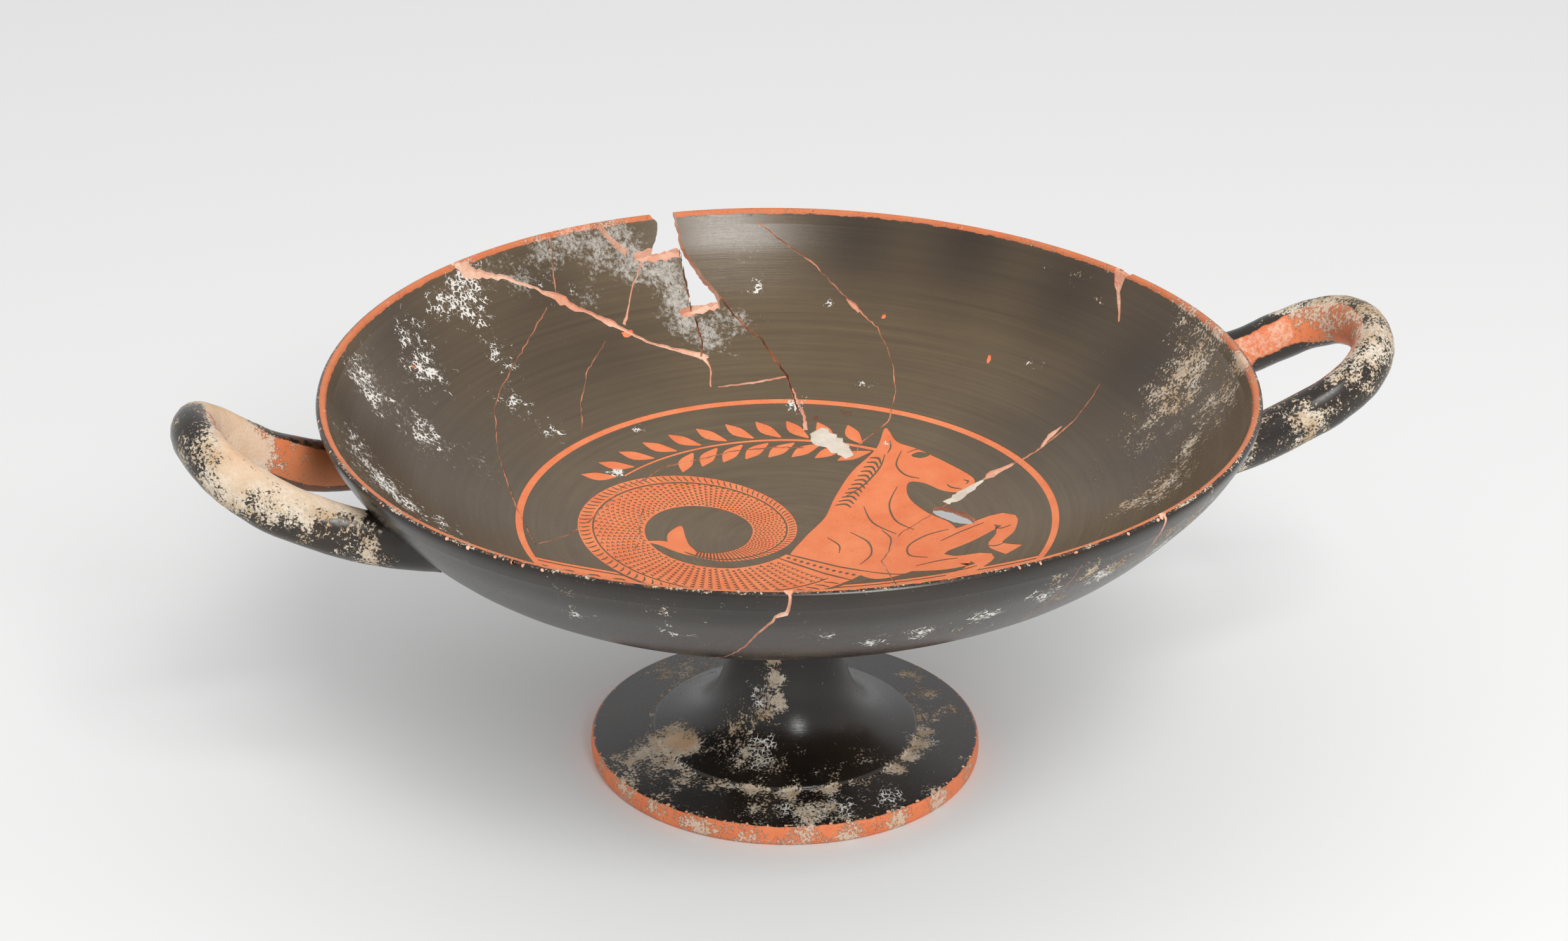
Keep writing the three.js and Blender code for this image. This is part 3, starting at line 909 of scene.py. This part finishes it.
# On a handle: how far along its eleven stretches from its first root, how far the place is moved
# out, across and up from the coil's middle, then its size and cover.
crust_on_handles = {
    "left": [
        (4.6, -3, 0, 7, 8, 0.9), (3.8, -6, 0, 2, 8, 0.95), (3.0, -2, -7, 2, 8, 0.95),
        (2.4, 0, -8, 1, 8, 0.7), (3.4, -2, 0, 8, 8, 0.7), (6.4, -5, 2, 5, 7, 0.9),
        (7.2, -2, 2, 7, 9, 1.0), (8.0, 0, 3, 7, 10, 1.0), (8.7, 0, 3, 7, 10, 1.0),
        (9.3, 0, 3, 7, 10, 1.0), (9.8, 0, 3, 7, 8, 1.0), (7.4, 3, -4, 4, 8, 0.6),
        (8.4, 0, -6, 2, 7, 0.5), (5.4, 5, 0, 4, 7, 0.42), (6.3, 5, 0, 0, 8, 0.4),
        (9.8, 0, -7, -4, 7, 0.55), (7.2, 2, -5, -3, 8, 0.42),
    ],
    "right": [
        (3.0, 0, -3, 7, 12, 0.4), (4.2, 4, 0, 6, 12, 0.62), (5.5, 4, 0, 5, 12, 0.64),
        (6.8, 4, 0, 5, 11, 0.58), (8.0, 3, 4, 9, 8, 0.45), (1.8, 0, -4, 3, 11, 0.34),
        (0.9, 0, -6, -3, 10, 0.5), (2.0, 0, -7, -4, 9, 0.46), (9.6, 0, 3, 8, 9, 0.36),
        (4.0, -6, 0, 2, 7, 0.5), (1.2, 0, 2, 8, 6, 0.7), (2.8, 0, 4, 7, 6, 0.5), (6.2, -6, 0, 3, 8, 0.5),
        (7.4, -4, 2, 5, 7, 0.6),
    ],
}
# Browner bare clay on the handles: on the right handle's bend it is painted shade; on the left handle it
# lies near the first root.
brown_and_shade_on_handles = {
    "left": [
        (1.4, 0, -7, 0, 17, 1.0), (0.4, 0, -7, 0, 12, 1.0),
    ],
    "right": [
        (5.2, -6, 0, 2, 8, 0.5),
    ],
}


def true_places(points):
    """Where points of the fired cup lay before it settled."""
    true = points.copy()
    for _ in range(6):
        true += points - settled(true)
    return true


def nearest_on(line, places):
    """For each (radius, height): how far it is from a profile, and how far along that lies."""
    steps = np.diff(line, axis=0)
    lengths = np.hypot(*steps.T)
    travelled = np.concatenate([[0], np.cumsum(lengths)])
    away = np.full(len(places), np.inf)
    along = np.zeros(len(places))
    for start, step, length, before in zip(line, steps, lengths, travelled):
        share = np.clip((places - start) @ step / length ** 2, 0, 1)
        distance = np.linalg.norm(places - start - share[:, None] * step, axis=1)
        closer = distance < away
        away[closer] = distance[closer]
        along[closer] = before + share[closer] * length
    return away, along


def ends_of(parts):
    """How far along a profile each of its parts starts and ends."""
    lengths = [np.hypot(*np.diff(line, axis=0).T).sum() for line in parts.values()]
    ends = np.cumsum(lengths)
    return dict(zip(parts, zip(ends - lengths, ends)))


outside_ends, inside_ends = ends_of(outside_parts), ends_of(inside_parts)


def profile_normals(parts, ends, along_part, along, outwards):
    """The profile's normal at each place along, on the part that along_part falls in."""
    normals = np.zeros((len(along), 2))
    for name, line in parts.items():
        start, end = ends[name]
        here = (along_part >= start) & (along_part <= end)
        travelled = start + np.concatenate([[0], np.cumsum(np.hypot(*np.diff(line, axis=0).T))])
        normal = sideways(line) * outwards
        if line[-1, 1] == LIP_HEIGHT:
            normal[-1] = (0, 1)
        if line[0, 0] == 0:
            normal[0] = (0, np.sign(normal[0, 1]))
        for axis in (0, 1):
            normals[here, axis] = np.interp(np.clip(along[here], start, end), travelled,
                                            normal[:, axis])
    return normals / np.maximum(np.linalg.norm(normals, axis=1), 1e-6)[:, None]


def bent_normals(true, flat):
    """Normals given as (out, up) at places of the true cup, as they are after it settled."""
    angle = np.arctan2(true[:, 1], true[:, 0])
    out = np.stack([np.cos(angle), np.sin(angle), 0 * angle], 1)
    round_it = np.stack([-np.sin(angle), np.cos(angle), 0 * angle], 1)
    up = np.array([0, 0, 1.0])
    down_the_wall = out * flat[:, 1:] - up * flat[:, :1]
    small = 0.05
    one = settled(true + down_the_wall * small) - settled(true - down_the_wall * small)
    two = settled(true + round_it * small) - settled(true - round_it * small)
    normal = np.cross(one, two)
    return normal / np.linalg.norm(normal, axis=1)[:, None]


places = points_of(cup) / MM
true = true_places(places)
radius_and_height = np.stack([np.hypot(true[:, 0], true[:, 1]), true[:, 2]], 1)
from_outside, along_outside = nearest_on(outside_line, radius_and_height)
from_inside, along_inside = nearest_on(inside_line, radius_and_height)
is_inside = from_inside < from_outside
angle = np.arctan2(true[:, 1], true[:, 0])

# Smooth shading: the turned surfaces take their normals from the wheel's own curve.
SHARP_FROM = math.radians(32)
make_active(cup)
bpy.ops.object.shade_smooth_by_angle(angle=SHARP_FROM)
mesh = cup.data
corners = np.empty(len(mesh.loops), int)
mesh.loops.foreach_get("vertex_index", corners)
corner_normals = np.empty(len(mesh.loops) * 3)
mesh.corner_normals.foreach_get("vector", corner_normals)
corner_normals = corner_normals.reshape(-1, 3)
face_sizes = np.empty(len(mesh.polygons), int)
mesh.polygons.foreach_get("loop_total", face_sizes)
face_of_corner = np.repeat(np.arange(len(face_sizes)), face_sizes)
centres = np.empty(len(face_sizes) * 3)
mesh.polygons.foreach_get("center", centres)
face_normals = np.empty(len(face_sizes) * 3)
mesh.polygons.foreach_get("normal", face_normals)
face_normals = face_normals.reshape(-1, 3)
true_centres = true_places(centres.reshape(-1, 3) / MM)
centre_places = np.stack([np.hypot(*true_centres.T[:2]), true_centres[:, 2]], 1)
for line, parts, ends, outwards, along in (
    (outside_line, outside_parts, outside_ends, 1, along_outside),
    (inside_line, inside_parts, inside_ends, -1, along_inside),
):
    away, centre_along = nearest_on(line, centre_places)
    flat = profile_normals(parts, ends, centre_along, centre_along, outwards)
    turned_normals = bent_normals(true_centres, flat)
    is_turned = (away < 2 * SLIP_THICKNESS) & ((face_normals * turned_normals).sum(1) > 0.95)
    chosen = is_turned[face_of_corner]
    vertex = corners[chosen]
    flat = profile_normals(parts, ends, centre_along[face_of_corner[chosen]], along[vertex],
                           outwards)
    corner_normals[chosen] = bent_normals(true[vertex], flat)
mesh.normals_split_custom_set(corner_normals)

SPOT_LINES = {
    "inside": inside_line, "wall": wall_outside, "foot": outside_parts["foot top"],
    "stem": outside_parts["stem"], "edge": outside_parts["foot edge"], "lip": outside_parts["lip"],
}


def spot_centre(surface, degrees, at):
    line = SPOT_LINES[surface]
    axis = 1 if surface in ("stem", "edge") else 0
    line = line[np.argsort(line[:, axis])]
    other = np.interp(at, line[:, axis], line[:, 1 - axis])
    radius, height = (other, at) if axis else (at, other)
    return np.array([*polar(degrees, radius), height])


def handle_spot_centre(side, stretch, out, across, up):
    line = handle_points(**HANDLES[side])
    towards = HANDLES[side]["towards"]
    middle = [np.interp(stretch, range(len(line)), line[:, axis]) for axis in range(3)]
    return np.array(middle) + (towards * out, across, up)


def covered(spots, handle_spots, everywhere):
    """How much of the surface is covered at each vertex, from 0 to 1."""
    bare = 1 - everywhere
    for surface, spots_there in spots.items():
        same_side = is_inside == (surface == "inside")
        if surface == "lip":
            same_side = reserve > -1
        for degrees, at, size, amount in spots_there:
            away = np.linalg.norm(true - spot_centre(surface, degrees, at), axis=1)
            bare *= 1 - same_side * amount * np.exp(-(away / size) ** 2)
    for side, spots_there in handle_spots.items():
        for *place, size, amount in spots_there:
            away = np.linalg.norm(places - handle_spot_centre(side, *place), axis=1)
            bare *= 1 - on_handle * amount * np.exp(-(away / size) ** 2)
    return 1 - bare


# Reserved clay: how far each place lies past a band's edge, in millimetres, with slip below 0.
# The bands are the foot's edge, the inner lip, and the hollow of each handle, which faces inwards.
FOOT_SLIP_OVERLAP = 0.7
OUTER_LIP_BAND = 0.5
INNER_LIP_BAND = 2.4
HOLLOW_FACES_IN = 0.62
HOLLOW_SHARPNESS = 9
UNDERSIDE_FACES_DOWN = -0.3
UNDERSIDE_SHARPNESS = 12
HANDLES_START = 130
BEND_STARTS = 194

on_handle = (from_outside > 1.0) & (radius_and_height[:, 0] > HANDLES_START) & ~is_inside
foot_band = outside_ends["foot edge"][1] - FOOT_SLIP_OVERLAP
lip_band = outside_ends["lip"][1] - OUTER_LIP_BAND
inner_lip_band = inside_ends["inner lip"][1] - INNER_LIP_BAND
reserve = np.where(is_inside, along_inside - inner_lip_band,
                   np.maximum(foot_band - along_outside, along_outside - lip_band))
vertex_normals = np.array([vertex.normal for vertex in mesh.vertices])
for side, shape in HANDLES.items():
    loop_middle = np.array([shape["towards"] * (WALL_AT_HANDLES + shape["bend_start"]) / 2, 0, 0])
    inwards = (loop_middle - places) * (1, 1, 0)
    inwards /= np.linalg.norm(inwards, axis=1)[:, None]
    this_one = on_handle & (places[:, 0] * shape["towards"] > 0)
    facing = (vertex_normals * inwards).sum(1)[this_one]
    reserve[this_one] = (facing - HOLLOW_FACES_IN) * HOLLOW_SHARPNESS
    if side == "left":  # its slip runs further in underneath
        down = np.maximum(UNDERSIDE_FACES_DOWN - vertex_normals[this_one, 2], 0)
        reserve[this_one] -= down * UNDERSIDE_SHARPNESS

# Crust gathers outside the foot's step, and along the lip, which is worn more than elsewhere.
outside_share = (~is_inside).astype(float)
by_the_step = np.exp(-((radius_and_height[:, 0] - STEP_RADIUS - 0.9) / 1.1) ** 2)
by_the_step *= outside_share * (radius_and_height[:, 1] < 12)
on_lip_band = (radius_and_height[:, 1] > LIP_HEIGHT - 4) & (reserve > -1)
surfaces = {
    "reserve": np.clip(reserve, -6, 6),
    "inside": is_inside.astype(float),
    "crust": covered(crust_spots, crust_on_handles,
                     outside_share * 0.14 + on_handle * 0.08 + on_lip_band * 0.24
                     + by_the_step * 0.32),
    "lime": covered(lime_spots, {}, outside_share * 0.05),
    # Painted sheen in part: this cover also paints reflections near the gap and on the right handle.
    "haze_and_sheen": covered(haze_and_sheen_spots, {}, outside_share * 0.06 + is_inside * 0.03),
    # This cover also holds painted shade on the right handle's bend, and browns the lip's bare band.
    "wear_and_shade": covered(wear_spots, brown_and_shade_on_handles,
                    outside_share * 0.06 + is_inside * 0.02 + on_lip_band * 0.4),
    # Painted dark reflection: where the slip is painted darker.
    "dark_reflection": covered(dark_reflection_spots, {}, 0.0),
}
# The right handle's bare clay has a pale film up to the bend, partly real and partly a painted sheen,
# and most of its crust on the bend.
right_hollow = on_handle & (reserve > 0) & (places[:, 0] > 0)
clean_hollow = right_hollow & (places[:, 0] < BEND_STARTS)
tan_bend = right_hollow & (places[:, 0] >= BEND_STARTS)
surfaces["crust"][clean_hollow] *= 0.35
surfaces["haze_and_sheen"][clean_hollow] = 0.62
surfaces["crust"][tan_bend] *= 0.8
for name, values in surfaces.items():
    layer = mesh.attributes.new(name, "FLOAT", "POINT")
    layer.data.foreach_set("value", values)
OUTSIDE_FOLLOWS = 300  # how far along the wheel's pattern the outside starts
wheel = mesh.attributes.new("wheel", "FLOAT_VECTOR", "POINT")
along_either = np.where(is_inside, along_inside, along_outside + OUTSIDE_FOLLOWS)
wheel.data.foreach_set("vector", np.stack([np.cos(angle), np.sin(angle), along_either], 1).ravel())

# All of it was made about the cup's own axis, and now it moves to its place.
place_points(cup, points_of(cup) + (AXIS_X, 0, 0))


def add(tree, kind, inputs=(), **settings):
    """A new node with its settings, and its inputs linked or given a value."""
    new = tree.nodes.new(kind)
    for name, value in settings.items():
        setattr(new, name, value)
    for socket, value in dict(inputs).items():
        if isinstance(value, bpy.types.NodeSocket):
            tree.links.new(value, new.inputs[socket])
        else:
            new.inputs[socket].default_value = value
    return new


def maths(tree, operation, *values, clamp=False):
    return add(tree, "ShaderNodeMath", enumerate(values), operation=operation,
               use_clamp=clamp).outputs[0]


def mixed(tree, factor, one, two):
    """A colour between two, by a factor."""
    return add(tree, "ShaderNodeMix", {0: factor, 6: one, 7: two}, data_type="RGBA").outputs[2]


def between(tree, factor, one, two):
    """A value between two, by a factor."""
    return add(tree, "ShaderNodeMix", {0: factor, 2: one, 3: two}).outputs[0]


def grain(tree, vector, scale, detail=4.0, roughness=0.6, distortion=0.0):
    noise = add(tree, "ShaderNodeTexNoise", {
        "Vector": vector, "Scale": scale, "Detail": detail, "Roughness": roughness,
        "Distortion": distortion,
    })
    return noise.outputs["Fac"]


def stretched(tree, value, low, high, to_low=0.0, to_high=1.0):
    spread = add(tree, "ShaderNodeMapRange", {
        "Value": value, "From Min": low, "From Max": high, "To Min": to_low, "To Max": to_high,
    })
    return spread.outputs[0]


def patches(tree, cover, pattern, edge):
    """Where a pattern from 0 to 1 reaches into what a cover from 0 to 1 leaves."""
    over = maths(tree, "SUBTRACT", maths(tree, "ADD", pattern, cover), 1.0)
    return stretched(tree, over, 0.0, edge)


def tone(red, green, blue):
    """A colour from its everyday 0 to 255 values."""
    return [*(((v / 255 + 0.055) / 1.055) ** 2.4 for v in (red, green, blue)), 1.0]


# Painted light in the slip: the inside's browns are partly the slip's own misfired colour and partly a
# painted sheen, and the outside's near-black is a painted darker, shaded copy of the same slip.
SLIP_DARK, SLIP_BROWN_AND_SHEEN, SLIP_OUTSIDE_SHADED = tone(70, 54, 38), tone(108, 91, 64), tone(26, 22, 18)
# Painted dark reflection: the second tone below is the slip darkened to stand for dark surroundings
# mirrored in its gloss.
SLIP_THIN, SLIP_DARK_REFLECTION = tone(104, 62, 36), tone(38, 28, 20)
CLAY_ORANGE, CLAY_LIGHT, CLAY_DIRTY = tone(224, 116, 68), tone(233, 138, 90), tone(164, 92, 56)
BREAK_PINK, BREAK_PALE = tone(222, 156, 126), tone(240, 204, 178)
JOIN_BROWN, JOIN_ORANGE = tone(144, 98, 72), tone(212, 146, 112)
PLASTER_WHITE, PLASTER_GREY = tone(232, 222, 208), tone(196, 180, 162)
CRUST_TAN, CRUST_CREAM, CRUST_GREY = tone(202, 170, 132), tone(230, 216, 196), tone(172, 162, 146)
POWDER_PINK = tone(230, 194, 168)
SAND_TAN, SAND_PALE = tone(214, 168, 126), tone(236, 214, 188)
CLAY_BROWN_AND_SHADE = tone(150, 92, 52)
LIME_WHITE, HAZE_GREY = tone(224, 220, 212), tone(194, 189, 180)


def brushed_slip(tree, cover, cloudy, speckle):
    """Slip, brushed on while the cup turned: its colour with painted sheen and shade, its roughness and
    its strokes.
    """
    on_wheel = add(tree, "ShaderNodeAttribute", attribute_name="wheel").outputs["Vector"]
    streaks = add(tree, "ShaderNodeMapping", {"Vector": on_wheel, "Scale": (1.6, 1.6, 0.55)})
    bands = grain(tree, streaks.outputs[0], 1.0, 5.0, 0.62)
    fine_streaks = add(tree, "ShaderNodeMapping", {"Vector": on_wheel, "Scale": (5, 5, 3.2)})
    brushing = grain(tree, fine_streaks.outputs[0], 1.0, 3.0, 0.6)
    slip = mixed(tree, stretched(tree, bands, 0.0, 0.8), SLIP_DARK, SLIP_BROWN_AND_SHEEN)
    slip = mixed(tree, stretched(tree, brushing, 0.35, 0.8, 0, 0.25), slip, SLIP_BROWN_AND_SHEEN)
    # Painted dark reflection: the slip is darkened by this cover.
    slip = mixed(tree, maths(tree, "MULTIPLY", cover["dark_reflection"], 0.85), slip, SLIP_DARK_REFLECTION)
    # Painted shade: the outside takes the darker copy of the slip.
    slip = mixed(tree, maths(tree, "SUBTRACT", 1.0, cover["inside"]), slip, SLIP_OUTSIDE_SHADED)
    slip = mixed(tree, stretched(tree, cloudy, 0.35, 0.75, 0.0, 0.35), slip, SLIP_DARK)
    roughness = stretched(tree, maths(tree, "ADD", brushing, speckle), 0.6, 1.4, 0.17, 0.31)
    return slip, roughness, brushing


def hazed_and_sheened(tree, place, cover, colour, haze_tone, roughness):
    """A thin pale film with fine scratches, thicker round the lime, which in a few places is a painted
    sheen.
    """
    film = maths(tree, "ADD",
                 stretched(tree, grain(tree, place, 150.0, 8.0, 0.75, 0.8), 0.34, 0.66, 0, 0.5),
                 stretched(tree, grain(tree, place, 620.0, 6.0, 0.75), 0.36, 0.64, 0, 0.5))
    scratched = add(tree, "ShaderNodeMapping", {
        "Vector": place, "Rotation": (0.6, 0.3, 0.9), "Scale": (900, 160, 500),
    })
    film = maths(tree, "MINIMUM", film,
                 stretched(tree, grain(tree, scratched.outputs[0], 1.0, 4.0, 0.6), 0.28, 0.5))
    around_lime = maths(tree, "MULTIPLY", cover["lime"], 0.6)
    filmed = patches(tree, maths(tree, "ADD", cover["haze_and_sheen"], around_lime), film, 0.42)
    haze_and_sheen = maths(tree, "MULTIPLY", filmed, 0.8)
    return mixed(tree, haze_and_sheen, colour, haze_tone), between(tree, haze_and_sheen, roughness, 0.8)


def limed(tree, place, cover, colour, roughness):
    """White flecks of lime, branching like roots. The last value is where they are."""
    drift = add(tree, "ShaderNodeTexNoise", {"Vector": place, "Scale": 240.0, "Detail": 3.0})
    shaken = add(tree, "ShaderNodeMix", {0: 0.004, 4: place, 5: drift.outputs["Color"]},
                 data_type="VECTOR").outputs[1]
    cells = add(tree, "ShaderNodeTexVoronoi", {"Vector": shaken, "Scale": 560.0},
                feature="DISTANCE_TO_EDGE")
    veins = stretched(tree, cells.outputs["Distance"], 0.0, 0.26, 1.0, 0.0)
    spread = stretched(tree, grain(tree, place, 250.0, 8.0, 0.72), 0.36, 0.64)
    pattern = maths(tree, "ADD", maths(tree, "MULTIPLY", veins, 0.4),
                    maths(tree, "MULTIPLY", spread, 0.6))
    lime = patches(tree, cover["lime"], pattern, 0.1)
    return mixed(tree, lime, colour, LIME_WHITE), between(tree, lime, roughness, 0.9), lime


def crusted(tree, place, cover, colour, roughness, bared, cloudy, speckle):
    """A tan crust of fine crumbs, pinker on bare clay. The last value is how deep it lies."""
    broad = stretched(tree, grain(tree, place, 150.0, 6.0, 0.68), 0.34, 0.66)
    fine = stretched(tree, grain(tree, place, 1000.0, 5.0, 0.7), 0.32, 0.68)
    crumbly = maths(tree, "ADD", maths(tree, "MULTIPLY", broad, 0.4),
                    maths(tree, "MULTIPLY", fine, 0.6))
    crust = patches(tree, cover["crust"], crumbly, 0.09)
    crust_tone = mixed(tree, stretched(tree, grain(tree, place, 95.0, 5.0, 0.65), 0.38, 0.62),
                       CRUST_TAN, CRUST_CREAM)
    crust_tone = mixed(tree, stretched(tree, speckle, 0.45, 0.75), crust_tone, CRUST_GREY)
    if bared is not None:
        powder = mixed(tree, bared, CRUST_CREAM, POWDER_PINK)
        crust_tone = mixed(tree, maths(tree, "MULTIPLY", bared, 0.75), crust_tone, powder)
    sandy = mixed(tree, stretched(tree, cloudy, 0.4, 0.62), SAND_TAN, SAND_PALE)
    crust_tone = mixed(tree, stretched(tree, cover["crust"], 0.7, 0.95), crust_tone, sandy)
    thickness = maths(tree, "MULTIPLY", crust, stretched(tree, crumbly, 0.2, 1.0, 0.1, 0.4))
    return mixed(tree, crust, colour, crust_tone), between(tree, crust, roughness, 0.95), thickness


def fired_finish(material, bare):
    """Gives a material its nodes. bare is what lies on top before the ground changed it."""
    material.use_nodes = True
    tree = material.node_tree
    tree.nodes.clear()
    place = add(tree, "ShaderNodeTexCoord").outputs["Object"]
    cover = {name: add(tree, "ShaderNodeAttribute", attribute_name=name).outputs["Fac"]
             for name in surfaces}
    cloudy = grain(tree, place, 26.0, 5.0, 0.6)
    speckle = grain(tree, place, 900.0, 3.0, 0.7)
    mottle = grain(tree, place, 70.0, 6.0, 0.65)
    fine = grain(tree, place, 1400.0, 3.0, 0.7)

    clay = mixed(tree, stretched(tree, mottle, 0.35, 0.7), CLAY_ORANGE, CLAY_LIGHT)
    dirt = patches(tree, stretched(tree, cloudy, 0.3, 0.7, 0.2, 0.42),
                   stretched(tree, fine, 0.3, 0.7), 0.5)
    clay = mixed(tree, dirt, clay, CLAY_DIRTY)
    clay_roughness = stretched(tree, mottle, 0.3, 0.7, 0.5, 0.68)
    raw_roughness = stretched(tree, fine, 0.3, 0.7, 0.8, 0.95)

    bared = None
    haze_tone = HAZE_GREY
    if bare == "slip":
        slip, slip_roughness, brushing = brushed_slip(tree, cover, cloudy, speckle)
        uneven = stretched(tree, grain(tree, place, 220.0, 3.0), 0.3, 0.7, -0.35, 0.35)
        bared = stretched(tree, maths(tree, "ADD", cover["reserve"], uneven), -0.15, 0.15)
        thin = stretched(tree, grain(tree, place, 320.0, 6.0, 0.7), 0.3, 0.7)
        worn = patches(tree, cover["wear_and_shade"], thin, 0.3)
        # Painted shade in part: bare clay browns by this cover, which on the right handle's bend stands
        # for shade.
        browned_and_shaded = mixed(tree, maths(tree, "MULTIPLY", cover["wear_and_shade"], 0.85, clamp=True), clay,
                        CLAY_BROWN_AND_SHADE)
        colour = mixed(tree, bared, mixed(tree, worn, slip, SLIP_THIN), browned_and_shaded)
        haze_tone = mixed(tree, bared, HAZE_GREY, POWDER_PINK)
        either = maths(tree, "MAXIMUM", bared, worn)
        roughness = between(tree, either, slip_roughness, clay_roughness)
        height = maths(tree, "MULTIPLY", brushing, 0.035)
    elif bare == "clay":
        colour = clay
        roughness = clay_roughness
        height = maths(tree, "MULTIPLY", fine, 0.03)
    elif bare == "break":
        colour = mixed(tree, stretched(tree, mottle, 0.4, 0.65), BREAK_PINK, BREAK_PALE)
        colour = mixed(tree, dirt, colour, CLAY_DIRTY)
        roughness = raw_roughness
        height = maths(tree, "MULTIPLY", grain(tree, place, 900.0, 6.0, 0.75), 0.35)
    elif bare == "join":
        smeared = stretched(tree, grain(tree, place, 130.0, 4.0, 0.6), 0.42, 0.6)
        colour = mixed(tree, smeared, JOIN_BROWN, JOIN_ORANGE)
        roughness = clay_roughness
        height = maths(tree, "MULTIPLY", fine, 0.1)
    else:
        colour = mixed(tree, stretched(tree, mottle, 0.35, 0.7), PLASTER_WHITE, PLASTER_GREY)
        roughness = raw_roughness
        height = maths(tree, "MULTIPLY", grain(tree, place, 700.0, 5.0, 0.7), 0.25)

    # What the ground left, with a painted sheen in the pale film, the thickest last. Little of it is on
    # a break, a join or plaster.
    if bare not in ("slip", "clay"):
        cover = {name: maths(tree, "MULTIPLY", value, 0.3) for name, value in cover.items()}
    colour, roughness = hazed_and_sheened(tree, place, cover, colour, haze_tone, roughness)
    colour, roughness, lime = limed(tree, place, cover, colour, roughness)
    colour, roughness, thickness = crusted(tree, place, cover, colour, roughness, bared, cloudy,
                                           speckle)
    thickness = maths(tree, "ADD", thickness, maths(tree, "MULTIPLY", lime, 0.08))
    height = maths(tree, "ADD", height, thickness)

    bump = add(tree, "ShaderNodeBump", {"Height": height, "Strength": 1.0, "Distance": MM})
    shader = add(tree, "ShaderNodeBsdfPrincipled", {
        "Base Color": colour, "Roughness": roughness, "IOR": 1.48,
        "Normal": bump.outputs[0],
    })
    add(tree, "ShaderNodeOutputMaterial", {"Surface": shader.outputs[0]})


fired_finish(black_gloss, "slip")
fired_finish(orange_clay, "clay")
fired_finish(broken_clay, "break")
fired_finish(glued_join, "join")
fired_finish(plaster, "plaster")
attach(cup, "root")
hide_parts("cup")


# ---------------------------------------------------------------- the table and the light
# The cup stands on a wide pale table top. A big soft light hangs high in front of it and a
# smaller one below that, with pale walls all round.

bpy.ops.mesh.primitive_grid_add(x_subdivisions=8, y_subdivisions=8, size=8)
table = bpy.context.active_object
table.name = "table_top"
table_paint = bpy.data.materials.new("table_paint")
table_paint.use_nodes = True
tree = table_paint.node_tree
paint = tree.nodes["Principled BSDF"]
paint.inputs["Base Color"].default_value = tone(229, 229, 227)
on_table = add(tree, "ShaderNodeTexCoord").outputs["Object"]
dulled = stretched(tree, grain(tree, on_table, 3.0), 0.3, 0.7, 0.55, 0.65)
tree.links.new(dulled, paint.inputs["Roughness"])
table.data.materials.append(table_paint)

# The camera looks at the cup with the painted picture upright.
CAMERA_RISE = math.radians(25.02)
CAMERA_ROLL = math.radians(0.587)
CAMERA_DISTANCE = 1.1876
CAMERA_LENS = 79.54
AIM_ASIDE = -1.3 * MM
AIM_HEIGHT = 108.1 * MM
camera_turn = Matrix.Rotation(PICTURE_TURN, 4, "Z")
aim = camera_turn @ Vector((AIM_ASIDE, 0, AIM_HEIGHT)) + Vector((AXIS_X, 0, 0))
look = camera_turn @ Matrix.Rotation(math.pi / 2 - CAMERA_RISE, 4, "X")
look = look @ Matrix.Rotation(CAMERA_ROLL, 4, "Z")
bpy.ops.object.camera_add(location=aim + look.col[2].to_3d() * CAMERA_DISTANCE,
                          rotation=look.to_euler())
camera = bpy.context.active_object
camera.data.lens = CAMERA_LENS
camera.data.sensor_width = 36
camera.data.clip_start = 0.01
bpy.context.scene.camera = camera


def soft_light(name, degrees, rise, distance, size, watts, colour):
    """A square light that faces the cup, from degrees round it and a rise above the table."""
    turn, rise = math.radians(degrees), math.radians(rise)
    towards = Vector((math.cos(turn) * math.cos(rise), math.sin(turn) * math.cos(rise),
                      math.sin(rise)))
    bpy.ops.object.light_add(type="AREA", location=towards * distance + Vector((0, 0, 0.1)),
                             rotation=towards.to_track_quat("Z", "Y").to_euler())
    lamp = bpy.context.active_object
    lamp.name = name
    lamp.data.size = size
    lamp.data.energy = watts
    lamp.data.color = colour


soft_light("high_light", -88, 51, 2.2, 0.7, 20, (1, 1, 1))
soft_light("front_light", -86, 34, 2.2, 0.5, 13, (0.98, 0.99, 1))
world = bpy.data.worlds.new("pale_walls")
bpy.context.scene.world = world
world.use_nodes = True
world.node_tree.nodes["Background"].inputs["Color"].default_value = (0.98, 0.985, 1, 1)
world.node_tree.nodes["Background"].inputs["Strength"].default_value = 0.8
bpy.context.scene.view_settings.view_transform = "Standard"
